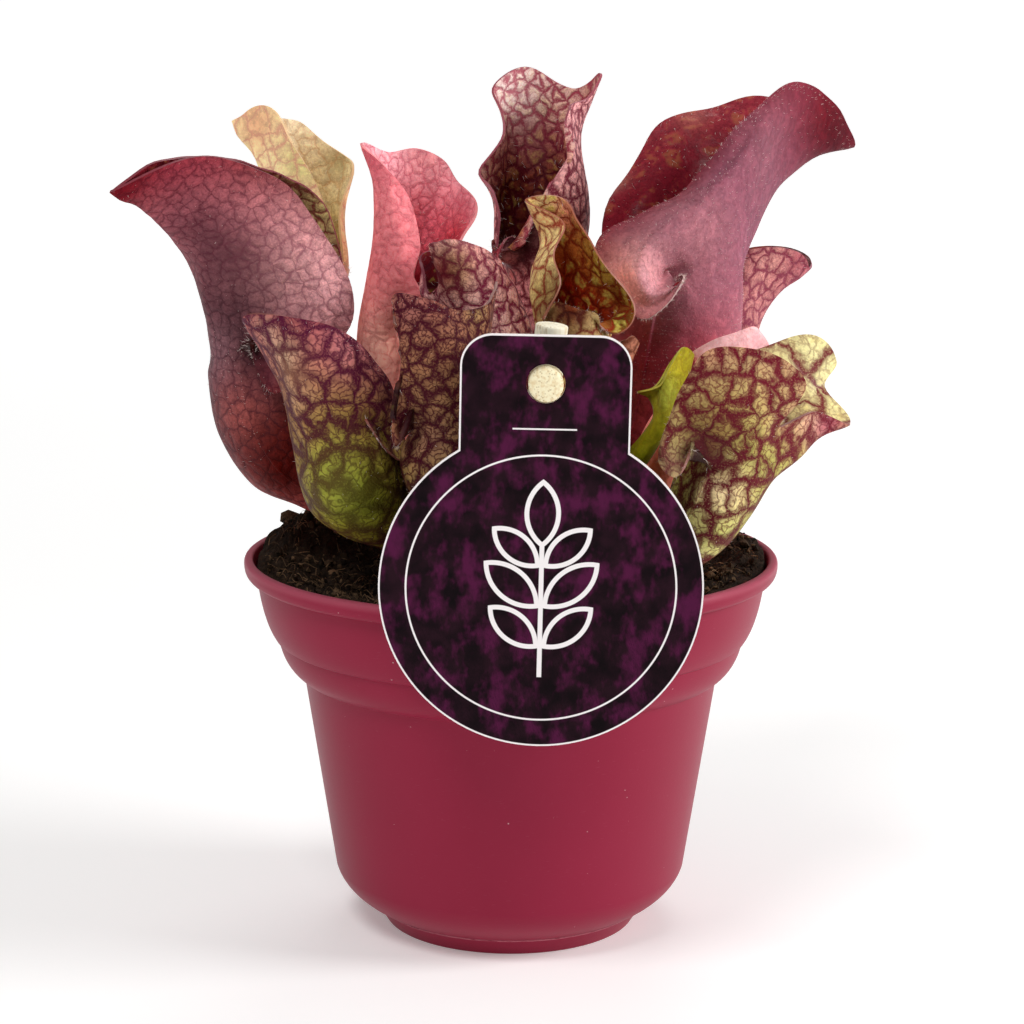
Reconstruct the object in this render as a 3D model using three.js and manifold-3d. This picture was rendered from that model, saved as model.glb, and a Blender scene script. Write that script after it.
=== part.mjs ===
// A potted pitcher plant: fourteen hollow pitcher leaves standing in peat in a plastic nursery pot,
// with a card tag that a wooden peg holds on a wooden stick.
// Millimetres, +Z up. The origin is under the middle of the pot, on the surface that it stands on,
// and the front, with the tag, faces -Y.
import * as THREE from 'three';
import { ConvexGeometry } from 'three/addons/geometries/ConvexGeometry.js';
import { mergeVertices } from 'three/addons/utils/BufferGeometryUtils.js';
import Module from 'manifold-3d';

const wasm = await Module();
wasm.setup();

// Driving dimensions
const GAP = 0.3; // clearance between touching pieces
const POT_HEIGHT = 63.7;
const RIM_RADIUS = 45;
const RIM_OPENING = 42.5;
const LIP_BOTTOM = 60.7;
const COLLAR_STEP = { radius: 39.5, z: 50.2 }; // crease between the two collar bands
const BODY_TOP = { radius: 35.1, z: 43.7 };
const BODY_END = { radius: 29.9, z: 9.9 };
const FOOT_TOP = { radius: 23.1, z: 3 };
const FOOT_RADIUS = 21.3;
const FOOT_WIDTH = 3;
const POT_WALL = 1.3;
const FLOOR_BOTTOM = 1.4;
const FLOOR_TOP = 3;
const POT_SIDES = 40;
const DRAIN_RADIUS = 3;
const DRAIN_CIRCLE = 13;
const DRAIN_COUNT = 5;
const SOIL_LEVEL = 60.2;
const SOIL_SIDES = 30;
const SOIL_CROWN = { x: 0, y: 0, height: 1.4, spread: 16 };
const SOIL_HEAP = { x: -32, y: 12, height: 6, spread: 9 };
const HOLE_SIDES = 10;
const BLADE = 0.8; // thickness of a leaf's wall
const STALK_FOOT = 54; // height of the stalks' lower ends, in the soil
const TAG_THICKNESS = 0.6;
const TAG_BACK = -45.4;
const TAG_TILT = THREE.MathUtils.degToRad(1);
const DISC = { x: 4.6, z: 67.9, radius: 24.8 };
const TAB = { halfWidth: 12.9, height: 38.9, corner: 4.9, hole: 31.5 }; // heights from the disc's centre
const PEG = {
  x: DISC.x + TAB.hole * Math.sin(TAG_TILT),
  z: DISC.z + TAB.hole * Math.cos(TAG_TILT),
  radius: 2.65,
  front: -47.6,
  back: -42.4,
};
const TENON = { radius: 1.3, end: -38.4 };
const STICK = {
  radius: 2.5,
  top: new THREE.Vector3(6.1, -39.9, 107.6),
  shoulder: new THREE.Vector3(0.5, -36.9, 54),
  tip: new THREE.Vector3(0, -36, 49),
  tipRadius: 0.8,
};

// Leaves
// A tube row is [left x, left z, right x, right z, y, half depth, near lift, far lift]: an oval ring.
// The leaf's angles place the ring's control points, from its right side by the front to its left.
// A hood row lists the same control points as [x, y, z]. The last one is the rim of the leaf.
// The wing is the number of the control point under the narrow keel along the tube.
const LEAVES = {
  leaf_left_large: {
    colour: 0x8c5560, columns: 22, rows: 15, wing: 0,
    angles: [0, 60, 98, 104, 110, 118, 128, 142, 160, 180, 205, 232, 262, 310],
    tube: [
      [-14.5, 62.5, -12.5, 62.5, -2, 2], [-19, 65, -18, 68.5, -2, 3.5], [-28, 68.5, -26, 75, -1, 6],
      [-36, 72, -30.5, 81, 0, 9], [-43.5, 75.5, -32, 88.5, 0, 11], [-49, 84, -32.5, 93.5, 0, 12],
      [-50.5, 93.5, -34, 98, -1, 10.5], [-50, 99, -34.5, 101, -2, 8.5, 0, 2],
    ],
    hood: [
      [
        [-32, -4, 102], [-37.5, -9, 101.5], [-42, -13, 101], [-39.5, -14, 98], [-34, -14, 103.5],
        [-34, -14, 111.5], [-38.5, -15, 115.5], [-43.5, -16, 116.5], [-49, -15, 116], [-52, -9, 114.5],
        [-51.5, -2, 115.5], [-45.5, 4, 117], [-37.5, 6, 115], [-31.5, 3, 106],
      ],
      [
        [-31.5, -4, 103.5], [-37, -9.5, 102], [-42, -13, 100.5], [-38, -14.5, 93], [-27, -11, 103.5],
        [-28.5, -12, 116], [-33, -15, 125], [-39.5, -18, 129], [-49.5, -24, 131.5], [-61.5, -33, 126.5],
        [-54.5, -25, 131], [-45.5, -11, 130.5], [-35, 0, 125], [-28, 2, 111.5],
      ],
    ],
  },
  leaf_front_left: {
    colour: 0x7d6a3e, columns: 20, rows: 12, wing: 0,
    angles: [0, 40, 52, 65, 82, 105, 130, 172, 205, 240, 285, 325],
    tube: [
      [-11.5, 61.5, -9.5, 61.5, -9, 2], [-14.5, 63, -12, 67, -13, 4], [-20.5, 68, -15, 73.5, -18, 7],
      [-26.5, 71, -16, 79, -22, 9], [-31.5, 75, -17, 83, -24, 10.5], [-33.5, 80, -18, 86.5, -25, 10.5],
      [-34.5, 85.5, -18.5, 89, -25, 9.5, 2, 0],
    ],
    hood: [
      [
        [-18.5, -20, 89], [-21.5, -33, 91], [-19.5, -30, 88], [-19.5, -31, 93], [-22.5, -34, 97.5],
        [-28, -37, 100], [-33.5, -36, 98.5], [-36.5, -29, 97.5], [-36, -22, 93.5], [-32, -16, 90],
        [-26, -14, 89], [-21, -16, 89],
      ],
      [
        [-19, -19, 90], [-22.5, -33.5, 92], [-17, -29, 84.5], [-17.5, -28, 93.5], [-21, -30, 100],
        [-25.5, -34, 105.5], [-33.5, -36, 108], [-41.5, -31, 107.5], [-39.5, -23, 101], [-34, -16, 92],
        [-26.5, -13, 90], [-21.5, -15, 89.5],
      ],
    ],
  },
  leaf_front_middle: {
    colour: 0x6d4436, columns: 20, rows: 12, wing: 0,
    angles: [0, 30, 60, 90, 115, 130, 142, 152, 162, 180, 215, 250, 290, 325],
    tube: [
      [-4.5, 61.5, -3, 61.5, -13, 2], [-7.5, 65.5, -4, 67.5, -18, 4], [-11.5, 69.5, -4.5, 72.5, -23, 6.5],
      [-14, 75.5, -4.5, 77, -27, 8.5], [-15, 81.5, -4, 81.5, -28, 9.5], [-15, 86, -3.5, 86, -28, 9],
      [-14, 90, -3.5, 89.5, -28, 8],
    ],
    hood: [
      [
        [-3.5, -25, 102.5], [-4.5, -31, 101], [-8, -36.5, 101.5], [-11.5, -38, 102], [-15, -37, 101.5],
        [-16.5, -36, 98.5], [-17.5, -36, 93], [-16, -35.5, 89.5], [-15, -35, 93], [-13.5, -25, 90.5],
        [-9.5, -20, 89.5], [-5.5, -20, 92], [-4, -21, 97], [-3.5, -23, 100],
      ],
      [
        [-2.5, -21, 112], [-3.5, -28, 109.5], [-8, -34, 109], [-13, -36, 111], [-18.5, -34, 111],
        [-17, -35.5, 103], [-18, -36, 92], [-16.5, -35.5, 88], [-15, -35, 93.5], [-14.5, -25, 91],
        [-10, -19, 91], [-5, -18, 96], [-3.5, -19, 104], [-3, -20, 108.5],
      ],
    ],
  },
  leaf_inner_dark: {
    colour: 0x85505c, columns: 16, rows: 10, wing: 0,
    angles: [0, 30, 60, 90, 120, 150, 180, 210, 240, 270, 300, 330],
    tube: [
      [-6, 63, -4, 63, -3, 2], [-6, 66.5, -3, 67, -4, 4], [-7, 73.5, -0.5, 73.5, -5, 7],
      [-8, 81.5, 0.5, 81.5, -5, 8.5], [-8, 89, 1.5, 89, -5, 8.5], [-8, 96.5, 2.5, 96.5, -5, 8.5],
      [-8.5, 102, 3.5, 101.5, -5, 7.5],
    ],
    hood: [
      [
        [1, -5, 108.5], [-1, -10, 110], [-4.5, -13, 111.5], [-7.5, -14, 111.5], [-10, -13, 110.5],
        [-11, -11, 108.5], [-12.5, -8, 107.5], [-14.5, -5, 107], [-15, -2, 107], [-12, 1, 106.5],
        [-6, 2, 106.5], [-1, 0, 107.5],
      ],
      [
        [-2, -6, 113.5], [-4, -10, 116], [-7, -13, 117.5], [-10, -14, 118], [-12, -13.5, 117.5],
        [-13.5, -12, 116.5], [-11.5, -10, 111.5], [-14, -7, 108.5], [-17, -5, 113], [-16, -3, 115],
        [-11, 1, 114.5], [-5.5, 0, 113.5],
      ],
    ],
  },
  leaf_pink: {
    colour: 0xc4736a, columns: 16, rows: 10, wing: 0,
    angles: [0, 30, 60, 90, 120, 150, 180, 210, 240, 270, 300, 330],
    tube: [
      [-10, 64, -8, 64, 6, 2], [-12.5, 67.5, -9, 68.5, 8, 4], [-18.5, 73, -11.5, 75, 11, 7],
      [-23, 80.5, -13.5, 82, 13, 9], [-26, 88.5, -16, 89.5, 14, 10], [-26.5, 95.5, -17, 96, 14, 9.5],
      [-26.5, 100.5, -17.5, 100.5, 14, 9],
    ],
    hood: [
      [
        [-11.5, 8, 110], [-14, 4, 106], [-17.5, 3, 107], [-19, 2, 111.5], [-20.5, 3, 114.5], [-23, 5, 117],
        [-24, 9, 115.5], [-23, 16, 115], [-19.5, 21, 115.5], [-15, 22, 115], [-11.5, 18, 115],
        [-10, 13, 113.5],
      ],
      [
        [-8.5, 9, 115.5], [-12.5, 3, 106.5], [-16.5, 2, 110], [-15.5, 3, 115.5], [-18, 5, 122.5],
        [-23, 5, 128.5], [-26, 7, 131.5], [-21.5, 14, 130], [-16.5, 19, 130.5], [-12, 21, 128.5],
        [-9.5, 20, 125], [-6, 14, 121.5],
      ],
    ],
  },
  leaf_back_left: {
    colour: 0xc3a56a, columns: 16, rows: 10, wing: 11,
    angles: [0, 40, 70, 95, 120, 150, 180, 210, 245, 275, 305, 335],
    tube: [
      [-16, 64.5, -14, 64.5, 9, 2], [-21.5, 67.5, -18.5, 69.5, 13, 3.5], [-29, 74.5, -23.5, 77, 18, 6],
      [-36.5, 82.5, -29, 85.5, 22, 8], [-40, 91, -30.5, 93, 25, 9], [-42.5, 99, -30.5, 100.5, 26, 9],
      [-43, 106, -30, 106.5, 27, 8.5],
    ],
    hood: [
      [
        [-28.5, 21, 109.5], [-30, 16, 112], [-33, 14, 115], [-36.5, 15, 117.5], [-40, 17, 120],
        [-42, 20, 121.5], [-43.5, 24, 121], [-42.5, 30, 120.5], [-38.5, 34, 119.5], [-34, 34, 117.5],
        [-31, 31, 117], [-29, 26, 113],
      ],
      [
        [-29, 20, 108], [-31, 15, 117.5], [-34, 15, 125.5], [-38.5, 17, 132], [-43, 20, 137],
        [-47, 23, 136.5], [-48.5, 26, 135], [-40, 31, 135], [-35.5, 32, 134], [-29.5, 31, 129],
        [-28, 28, 126], [-30, 25, 118.5],
      ],
    ],
  },
  leaf_back_tall: {
    colour: 0x7a3340, columns: 18, rows: 14, wing: 3,
    angles: [0, 20, 40, 65, 92, 120, 142, 158, 185, 215, 245, 275, 305, 335, 348],
    tube: [
      [0, 65.5, 2, 65.5, 10, 2], [0, 69.5, 3.5, 69.5, 12, 4], [-0.5, 77, 5, 77, 15, 6.5],
      [-1, 85.5, 6.5, 85.5, 18, 8.5], [-1.5, 95.5, 8.5, 95.5, 20, 9.5], [-1.5, 103.5, 10, 103.5, 21, 9.5],
      [-1.5, 110, 12, 109, 21, 9],
    ],
    hood: [
      [
        [13, 20, 118], [11, 15, 119], [8, 12, 118], [4.5, 11, 116], [1.5, 11, 114], [-1, 12, 113.5],
        [-3, 12, 112.5], [-3, 15, 115], [-3, 21, 117.5], [-2, 28, 120], [0.5, 31, 121.5], [5, 32, 122],
        [9.5, 30, 121.5], [12, 26, 120.5], [13, 24, 119.5],
      ],
      [
        [11.5, 20, 130], [10.5, 15, 130.5], [9.5, 12, 128], [8, 11, 125], [3.5, 11, 120], [1, 10.5, 114.5],
        [-1.5, 11.5, 114.5], [-3, 13, 113.5], [-3, 17, 119.5], [-3.5, 24, 123], [-1.5, 29, 128],
        [0.5, 32, 131], [5.5, 32, 132], [9.5, 29, 130.5], [11.5, 25, 131],
      ],
      [
        [13.5, 20, 139], [11, 16, 138], [9, 13, 135.5], [10, 12, 131.5], [5, 11, 123], [2.5, 10, 115.5],
        [-0.5, 11, 116], [-3, 12, 111.5], [-2.5, 15, 120.5], [-5, 20, 127], [-2, 26, 134],
        [-3.5, 28, 140.5], [2, 31, 143.5], [10.5, 29, 139.5], [15.5, 25, 143],
      ],
    ],
  },
  leaf_inner_small: {
    colour: 0x9a7a3c, columns: 20, rows: 12, wing: 5,
    angles: [0, 30, 55, 75, 95, 115, 135, 155, 180, 205, 240, 280, 320],
    tube: [
      [3, 63.5, 4.5, 63.5, -6, 2], [3, 68.5, 5.5, 68.5, -8, 3.5], [3.5, 76, 8, 76, -11, 5.5],
      [3.5, 83.5, 10.5, 83.5, -13, 7], [3.5, 91, 13, 91, -13, 8], [4, 97.5, 15, 97.5, -13, 8],
      [4, 102, 16, 102, -13, 7.5],
    ],
    hood: [
      [
        [17, -10, 106], [16, -14, 105], [14, -17, 105], [12, -19, 105.5], [9.5, -20, 105.5],
        [6.5, -19, 106], [4.5, -17, 106.5], [3.5, -14, 108.5], [3, -11, 111], [3.5, -7, 113.5],
        [6, -4, 114], [10.5, -7.5, 113], [15, -11, 110],
      ],
      [
        [20, -14, 107.5], [17.5, -17, 103.5], [14.5, -18, 104], [13.5, -18, 106.5], [10.5, -19, 107.5],
        [7, -19, 108.5], [5, -20, 106], [7.5, -19, 111.5], [6.5, -16, 116], [8, -13, 120.5], [2, -10, 124],
        [8.5, -10, 124], [14, -14, 115.5],
      ],
    ],
  },
  leaf_right_large: {
    colour: 0xa8486a, columns: 22, rows: 15, wing: 9,
    angles: [0, 20, 42, 65, 84, 94, 102, 110, 118, 180, 225, 262, 295, 328],
    tube: [
      [11.5, 65, 13.5, 65.5, 5, 2], [13, 70, 17.5, 68, 6, 4], [15, 77.5, 23.5, 75, 7, 7],
      [15, 85, 30.5, 82.5, 8, 10], [15, 93, 36, 91.5, 8, 11.5], [15.5, 100, 38.5, 99, 8, 12],
      [17, 106, 39, 106, 8, 11.5], [19, 110, 39, 111.5, 8, 10, 2, 2],
    ],
    hood: [
      [
        [41, 13, 116], [40, 6, 122], [36.5, 0, 125], [32.5, -3, 124.5], [27.5, -6, 120], [22.5, -8, 116],
        [21, -9, 112], [23, -9, 109], [27, -6, 110.5], [21.5, 7, 108.5], [19.5, 16, 115],
        [24.5, 21, 122.5], [31.5, 24, 124], [37.5, 21, 122.5],
      ],
      [
        [47, 22, 125], [45.5, 15, 132.5], [42, 8, 134.5], [37.5, 4, 132], [31, -1, 127.5],
        [21.5, -5, 119.5], [17, -5, 113], [21.5, -7.5, 106.5], [27.5, -6.5, 111], [21.5, 8, 108],
        [16, 19, 116], [23, 26, 128], [31.5, 29, 132.5], [39.5, 28, 132.5],
      ],
      [
        [60, 34, 130], [55.5, 26, 138.5], [47.5, 17, 142], [39, 8, 136.5], [29.5, 1, 128.5],
        [14.5, -2, 117.5], [15.5, -4, 109.5], [22, -8, 104.5], [28, -7, 111.5], [21, 9, 107.5],
        [16, 21, 117], [23, 30, 132], [33, 33, 137], [45, 34, 139],
      ],
    ],
  },
  leaf_back_right: {
    colour: 0xb56a7a, columns: 16, rows: 10, wing: 6,
    angles: [0, 30, 60, 90, 120, 150, 180, 210, 240, 270, 300, 330],
    tube: [
      [8.5, 67, 10.5, 67, 11, 2], [12.5, 69.5, 15.5, 68, 18, 3.5], [23, 77, 27.5, 73.5, 26, 5.5],
      [30, 85.5, 39, 81, 30, 7], [33.5, 92.5, 43, 89.5, 32, 7], [35, 97.5, 44, 97, 33, 7],
    ],
    hood: [
      [
        [47, 33, 103.5], [44, 28, 106], [41, 25, 106], [38.5, 24, 105.5], [36.5, 24, 104], [34.5, 25, 102],
        [34, 28, 100.5], [35.5, 34, 101.5], [38.5, 40, 103], [41.5, 42.5, 104], [44.5, 42.5, 104.5],
        [46.5, 39, 104.5],
      ],
      [
        [53.5, 36, 108.5], [51.5, 31, 111.5], [46.5, 27, 113], [40.5, 25, 112.5], [36.5, 24, 110.5],
        [34, 24, 106.5], [33, 26, 102.5], [34.5, 35, 105], [38.5, 42, 109], [43.5, 46, 111],
        [50, 47, 111], [54, 43, 109.5],
      ],
    ],
  },
  leaf_right_pink: {
    colour: 0xc06a5e, columns: 14, rows: 9, wing: 6,
    angles: [0, 30, 60, 90, 120, 150, 180, 210, 240, 270, 300, 330],
    tube: [
      [12, 64.5, 14.5, 65, -4, 2], [14.5, 69, 18.5, 67.5, -6, 4], [19.5, 76.5, 26, 73.5, -9, 5],
      [21.5, 84, 30.5, 80, -9.5, 5], [24.5, 90, 35.5, 86.5, -9.5, 5], [28.5, 94.5, 38, 93, -9.5, 4.5],
      [30, 97.5, 40.5, 97.5, -9.5, 4.5],
    ],
    hood: [
      [
        [42, -10, 100.5], [40.5, -12, 103], [39, -13, 104], [36, -13, 103], [33, -13, 102],
        [30.5, -12, 100.5], [29, -10, 99], [30.5, -7, 99.5], [33.5, -5, 100], [37, -5, 100.5],
        [39.5, -6, 101], [41.5, -7, 100],
      ],
    ],
  },
  leaf_front_right: {
    colour: 0x8a6a40, columns: 22, rows: 13, wing: 10,
    angles: [0, 14, 28, 42, 60, 80, 97, 107, 115, 122, 180, 215, 250, 285, 315, 340],
    tube: [
      [10.5, 60, 12.5, 60, -12, 2], [13, 63.5, 15.5, 61.5, -15, 4], [17.5, 69.5, 22, 63, -20, 6.5],
      [22, 74.5, 28, 66, -24, 8.5], [25, 78, 33.5, 70, -26, 9], [26, 81.5, 38, 76, -27, 9],
      [27, 85, 41, 82.5, -27, 8.5],
    ],
    hood: [
      [
        [47, -24, 87], [43.5, -29, 88], [40.5, -33, 90], [39, -36, 93], [35.5, -38, 96.5],
        [30.5, -38.5, 96.5], [26, -38, 93.5], [24, -38, 88], [26.5, -37.5, 85], [28, -36, 88],
        [28.5, -24, 86.5], [30, -20, 90], [36, -18.5, 93.5], [40.5, -18, 94.5], [44, -18, 92],
        [46, -20, 90],
      ],
      [
        [54.5, -18, 89], [47.5, -27, 92.5], [41.5, -33, 91], [45.5, -34, 98], [38.5, -36, 104],
        [30, -36, 104], [25, -37, 95.5], [22.5, -38, 86], [25.5, -38.5, 82], [28, -36.5, 88.5],
        [27.5, -23, 87.5], [30.5, -17, 96.5], [40, -15, 100.5], [49, -12, 101.5], [53, -12, 98],
        [51.5, -14, 94],
      ],
    ],
  },
  leaf_young: {
    colour: 0xa9b84a, columns: 10, rows: 9, wing: 4,
    angles: [0, 45, 90, 135, 180, 225, 270, 315],
    tube: [
      [3.5, 62.5, 5, 62.5, -14, 1.5], [8, 68, 9.5, 67, -13.5, 2], [14, 76.5, 16, 75, -16, 2.5],
      [19, 84.5, 21.5, 82, -19, 3], [22.5, 90, 25, 88, -20, 3],
    ],
    hood: [
      [
        [27.5, -19, 93], [26, -22, 93], [24, -23, 93.5], [23, -21, 93.5], [22, -19, 93],
        [23.5, -16.5, 93.5], [25, -16, 94], [27, -17, 93.5],
      ],
      [
        [29, -17, 100], [27.5, -20, 101.5], [25, -22.5, 98.5], [23.5, -22.5, 95.5], [20, -20, 94],
        [23, -17, 95], [25.5, -15.5, 98.5], [27.5, -16, 101],
      ],
    ],
  },
  leaf_withered: {
    colour: 0x8a5a48, columns: 6, rows: 7, wing: 3,
    angles: [0, 60, 120, 180, 240, 300],
    tube: [
      [7.5, 61.5, 8.5, 61.5, -20, 1.5], [10, 70.5, 11, 70, -22, 1.5], [12.5, 82, 14, 82, -23, 2],
      [15, 92.5, 17, 92.5, -23, 2], [16.5, 99, 19, 99, -23, 2],
    ],
    hood: [
      [
        [20, -23, 102.5], [19, -25, 104], [17.5, -25, 103], [16, -23, 102], [17, -21, 102.5],
        [19, -21, 103],
      ],
    ],
  },
};
const WING_HEIGHT = 0.9;
const WING_WIDTH = 0.035; // of the way round the tube
const SOLID_STALK = 0.3; // the share of the leaf's length, from its foot, that isn't hollow

const part = new THREE.Group();
function addPiece(name, geometry, colour, roughness) {
  const mesh = new THREE.Mesh(geometry, new THREE.MeshStandardMaterial({ color: colour, roughness, metalness: 0 }));
  mesh.name = name;
  part.add(mesh);
  return mesh;
}

// Solids for boolean joins and cuts
function toSolid(geometry) {
  const bare = geometry.clone();
  bare.deleteAttribute('normal');
  bare.deleteAttribute('uv');
  const merged = mergeVertices(bare, 1e-4);
  const mesh = new wasm.Mesh({
    numProp: 3,
    vertProperties: new Float32Array(merged.attributes.position.array),
    triVerts: new Uint32Array(merged.index.array),
  });
  return new wasm.Manifold(mesh);
}
function toGeometry(solid) {
  const mesh = solid.getMesh();
  const geometry = new THREE.BufferGeometry();
  geometry.setAttribute('position', new THREE.BufferAttribute(mesh.vertProperties, 3));
  geometry.setIndex(new THREE.BufferAttribute(mesh.triVerts, 1));
  geometry.computeVertexNormals();
  return geometry;
}
function meshOf(points, triangles) {
  const geometry = new THREE.BufferGeometry().setFromPoints(points);
  geometry.setIndex(triangles);
  geometry.computeVertexNormals();
  return geometry;
}

// A round bar from one point to another, with its own radius at each end
function bar(from, to, fromRadius, toRadius, sides = 14) {
  const along = new THREE.Vector3().subVectors(to, from);
  const geometry = new THREE.CylinderGeometry(toRadius, fromRadius, along.length(), sides);
  const turn = new THREE.Quaternion().setFromUnitVectors(new THREE.Vector3(0, 1, 0), along.clone().normalize());
  geometry.applyQuaternion(turn);
  geometry.translate(...new THREE.Vector3().addVectors(from, to).multiplyScalar(0.5).toArray());
  return geometry;
}

// Two faces of quads, row by row, both split along the same diagonal
function gridTriangles(first, columns, rows, outward) {
  const triangles = [];
  for (let row = 0; row + 1 < rows; row += 1) {
    for (let column = 0; column < columns; column += 1) {
      const next = (column + 1) % columns;
      const a = first + row * columns + column;
      const b = first + row * columns + next;
      const c = b + columns;
      const d = a + columns;
      triangles.push(...(outward ? [a, b, c, a, c, d] : [a, c, b, a, d, c]));
    }
  }
  return triangles;
}

// Pot
function potProfile() {
  const path = new THREE.Path();
  path.moveTo(0, FLOOR_BOTTOM);
  path.lineTo(FOOT_RADIUS - FOOT_WIDTH - FLOOR_BOTTOM / 2, FLOOR_BOTTOM);
  path.lineTo(FOOT_RADIUS - FOOT_WIDTH, 0);
  path.lineTo(FOOT_RADIUS, 0);
  path.lineTo(FOOT_TOP.radius, FOOT_TOP.z);
  path.quadraticCurveTo(BODY_END.radius - 1.2, BODY_END.z - 4, BODY_END.radius, BODY_END.z);
  path.lineTo(BODY_TOP.radius, BODY_TOP.z);
  path.quadraticCurveTo(COLLAR_STEP.radius - 1.4, BODY_TOP.z + 1.8, COLLAR_STEP.radius, COLLAR_STEP.z);
  path.quadraticCurveTo(RIM_RADIUS - 3.2, COLLAR_STEP.z + 3, RIM_RADIUS - 2.1, LIP_BOTTOM - 0.2);
  path.lineTo(RIM_RADIUS - 1.2, LIP_BOTTOM);
  path.quadraticCurveTo(RIM_RADIUS, LIP_BOTTOM + 0.6, RIM_RADIUS, POT_HEIGHT - 1.2);
  path.quadraticCurveTo(RIM_RADIUS - 0.1, POT_HEIGHT, RIM_RADIUS - 1.2, POT_HEIGHT);
  path.quadraticCurveTo(RIM_OPENING, POT_HEIGHT, RIM_OPENING, POT_HEIGHT - 1.2);
  for (const point of innerWall()) path.lineTo(point.x, point.y);
  path.lineTo(0, FLOOR_TOP);
  return path.getPoints(3);
}
function innerWall() {
  return [
    new THREE.Vector2(RIM_OPENING - 1.2, LIP_BOTTOM - 6),
    new THREE.Vector2(COLLAR_STEP.radius - POT_WALL, COLLAR_STEP.z + 0.4),
    new THREE.Vector2(COLLAR_STEP.radius - POT_WALL - 1.2, COLLAR_STEP.z - 3),
    new THREE.Vector2(BODY_TOP.radius - POT_WALL, BODY_TOP.z),
    new THREE.Vector2(BODY_END.radius - POT_WALL, BODY_END.z + 0.6),
    new THREE.Vector2(FOOT_TOP.radius - POT_WALL, FLOOR_TOP),
  ];
}
function makePot() {
  const shell = new THREE.LatheGeometry(potProfile(), POT_SIDES);
  shell.rotateX(Math.PI / 2);
  let solid = toSolid(shell);
  for (let hole = 0; hole <= DRAIN_COUNT; hole += 1) {
    const angle = (hole / DRAIN_COUNT) * 2 * Math.PI;
    const reach = hole < DRAIN_COUNT ? DRAIN_CIRCLE : 0;
    const low = new THREE.Vector3(reach * Math.cos(angle), reach * Math.sin(angle), -1);
    const high = low.clone().setZ(FLOOR_TOP + 1);
    solid = solid.subtract(toSolid(bar(low, high, DRAIN_RADIUS, DRAIN_RADIUS, 12)));
  }
  addPiece('pot', toGeometry(solid), 0xab4459, 0.4);
}

// Leaf surface
function ovalRing([leftX, leftZ, rightX, rightZ, y, halfDepth, nearLift = 0, farLift = -nearLift], angles) {
  const middle = new THREE.Vector3((leftX + rightX) / 2, y, (leftZ + rightZ) / 2);
  const half = new THREE.Vector3((rightX - leftX) / 2, 0, (rightZ - leftZ) / 2);
  return angles.map((degrees) => {
    const angle = THREE.MathUtils.degToRad(degrees);
    const front = Math.sin(angle);
    const point = middle.clone().addScaledVector(half, Math.cos(angle));
    point.y -= halfDepth * front;
    point.z += (front > 0 ? nearLift : -farLift) * front;
    return point;
  });
}
function stalkFoot([leftX, , rightX, , y]) {
  return [leftX, STALK_FOOT, rightX, STALK_FOOT, y, (rightX - leftX) / 2];
}
function controlRings(leaf) {
  const rows = [stalkFoot(leaf.tube[0]), ...leaf.tube];
  const hood = leaf.hood.map((ring) => ring.map((point) => new THREE.Vector3(...point)));
  return [...rows.map((row) => ovalRing(row, leaf.angles)), ...hood];
}
function centreOf(points) {
  const sum = points.reduce((total, point) => total.add(point), new THREE.Vector3());
  return sum.multiplyScalar(1 / points.length);
}

// Rows of points from the stalk's foot to the rim, with the keel raised along the tube
function leafGrid(leaf) {
  const { columns, rows, wing } = leaf;
  const rings = controlRings(leaf);
  const keelAt = wing / leaf.angles.length;
  const around = rings.map((ring) => {
    const curve = new THREE.CatmullRomCurve3(ring, true, 'catmullrom');
    return Array.from({ length: columns }, (_, column) => curve.getPoint((keelAt + column / columns) % 1));
  });
  const tubeShare = leaf.tube.length / (rings.length - 1);
  const curves = Array.from({ length: columns }, (_, column) => (
    new THREE.CatmullRomCurve3(around.map((ring) => ring[column]), false, 'catmullrom')));
  return Array.from({ length: rows }, (_, row) => {
    const along = row / (rows - 1);
    const ring = curves.map((curve) => curve.getPoint(along));
    const keel = WING_HEIGHT * Math.sin(Math.PI * Math.min(1, along / tubeShare)) ** 2;
    const middle = centreOf(ring);
    return ring.map((point, column) => {
      const turn = Math.min(column, columns - column) / columns;
      const outward = point.clone().sub(middle).normalize();
      return point.addScaledVector(outward, keel * Math.exp(-((turn / WING_WIDTH) ** 2)));
    });
  });
}
function outwardAt(grid, row, column) {
  const columns = grid[0].length;
  const around = grid[row][(column + 1) % columns].clone().sub(grid[row][(column + columns - 1) % columns]);
  const upper = grid[Math.min(row + 1, grid.length - 1)][column];
  const lower = grid[Math.max(row - 1, 0)][column];
  return around.cross(upper.clone().sub(lower)).normalize();
}

// A hollow leaf: wedges fill the stalk, and thin blocks one blade's thickness deep make the wall,
// from one row inside the stalk up. Joined, they are one solid whose folds can't cross.
function convexBlock(points) {
  return toSolid(new ConvexGeometry(points));
}
function leafSolid(leaf) {
  const { columns, rows } = leaf;
  const grid = leafGrid(leaf);
  const inside = grid.map((ring, row) => ring.map((point, column) => (
    point.clone().addScaledVector(outwardAt(grid, row, column), BLADE))));
  const middles = grid.map(centreOf);
  const hollowFrom = Math.ceil(SOLID_STALK * rows);
  const blocks = [];
  for (let row = 0; row + 1 < rows; row += 1) {
    for (let column = 0; column < columns; column += 1) {
      const next = (column + 1) % columns;
      const quad = (faces) => [faces[row][column], faces[row][next], faces[row + 1][next], faces[row + 1][column]];
      const [a, b, c, d] = quad(grid);
      const [e, f, g, h] = quad(inside);
      if (row < hollowFrom) blocks.push(convexBlock([a, b, c, d, middles[row], middles[row + 1]]));
      if (row >= hollowFrom - 1) blocks.push(convexBlock([a, b, c, e, f, g]), convexBlock([a, c, d, e, g, h]));
    }
  }
  const pieces = wasm.Manifold.union(blocks).decompose();
  return pieces.reduce((largest, piece) => (piece.volume() > largest.volume() ? piece : largest));
}

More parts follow.
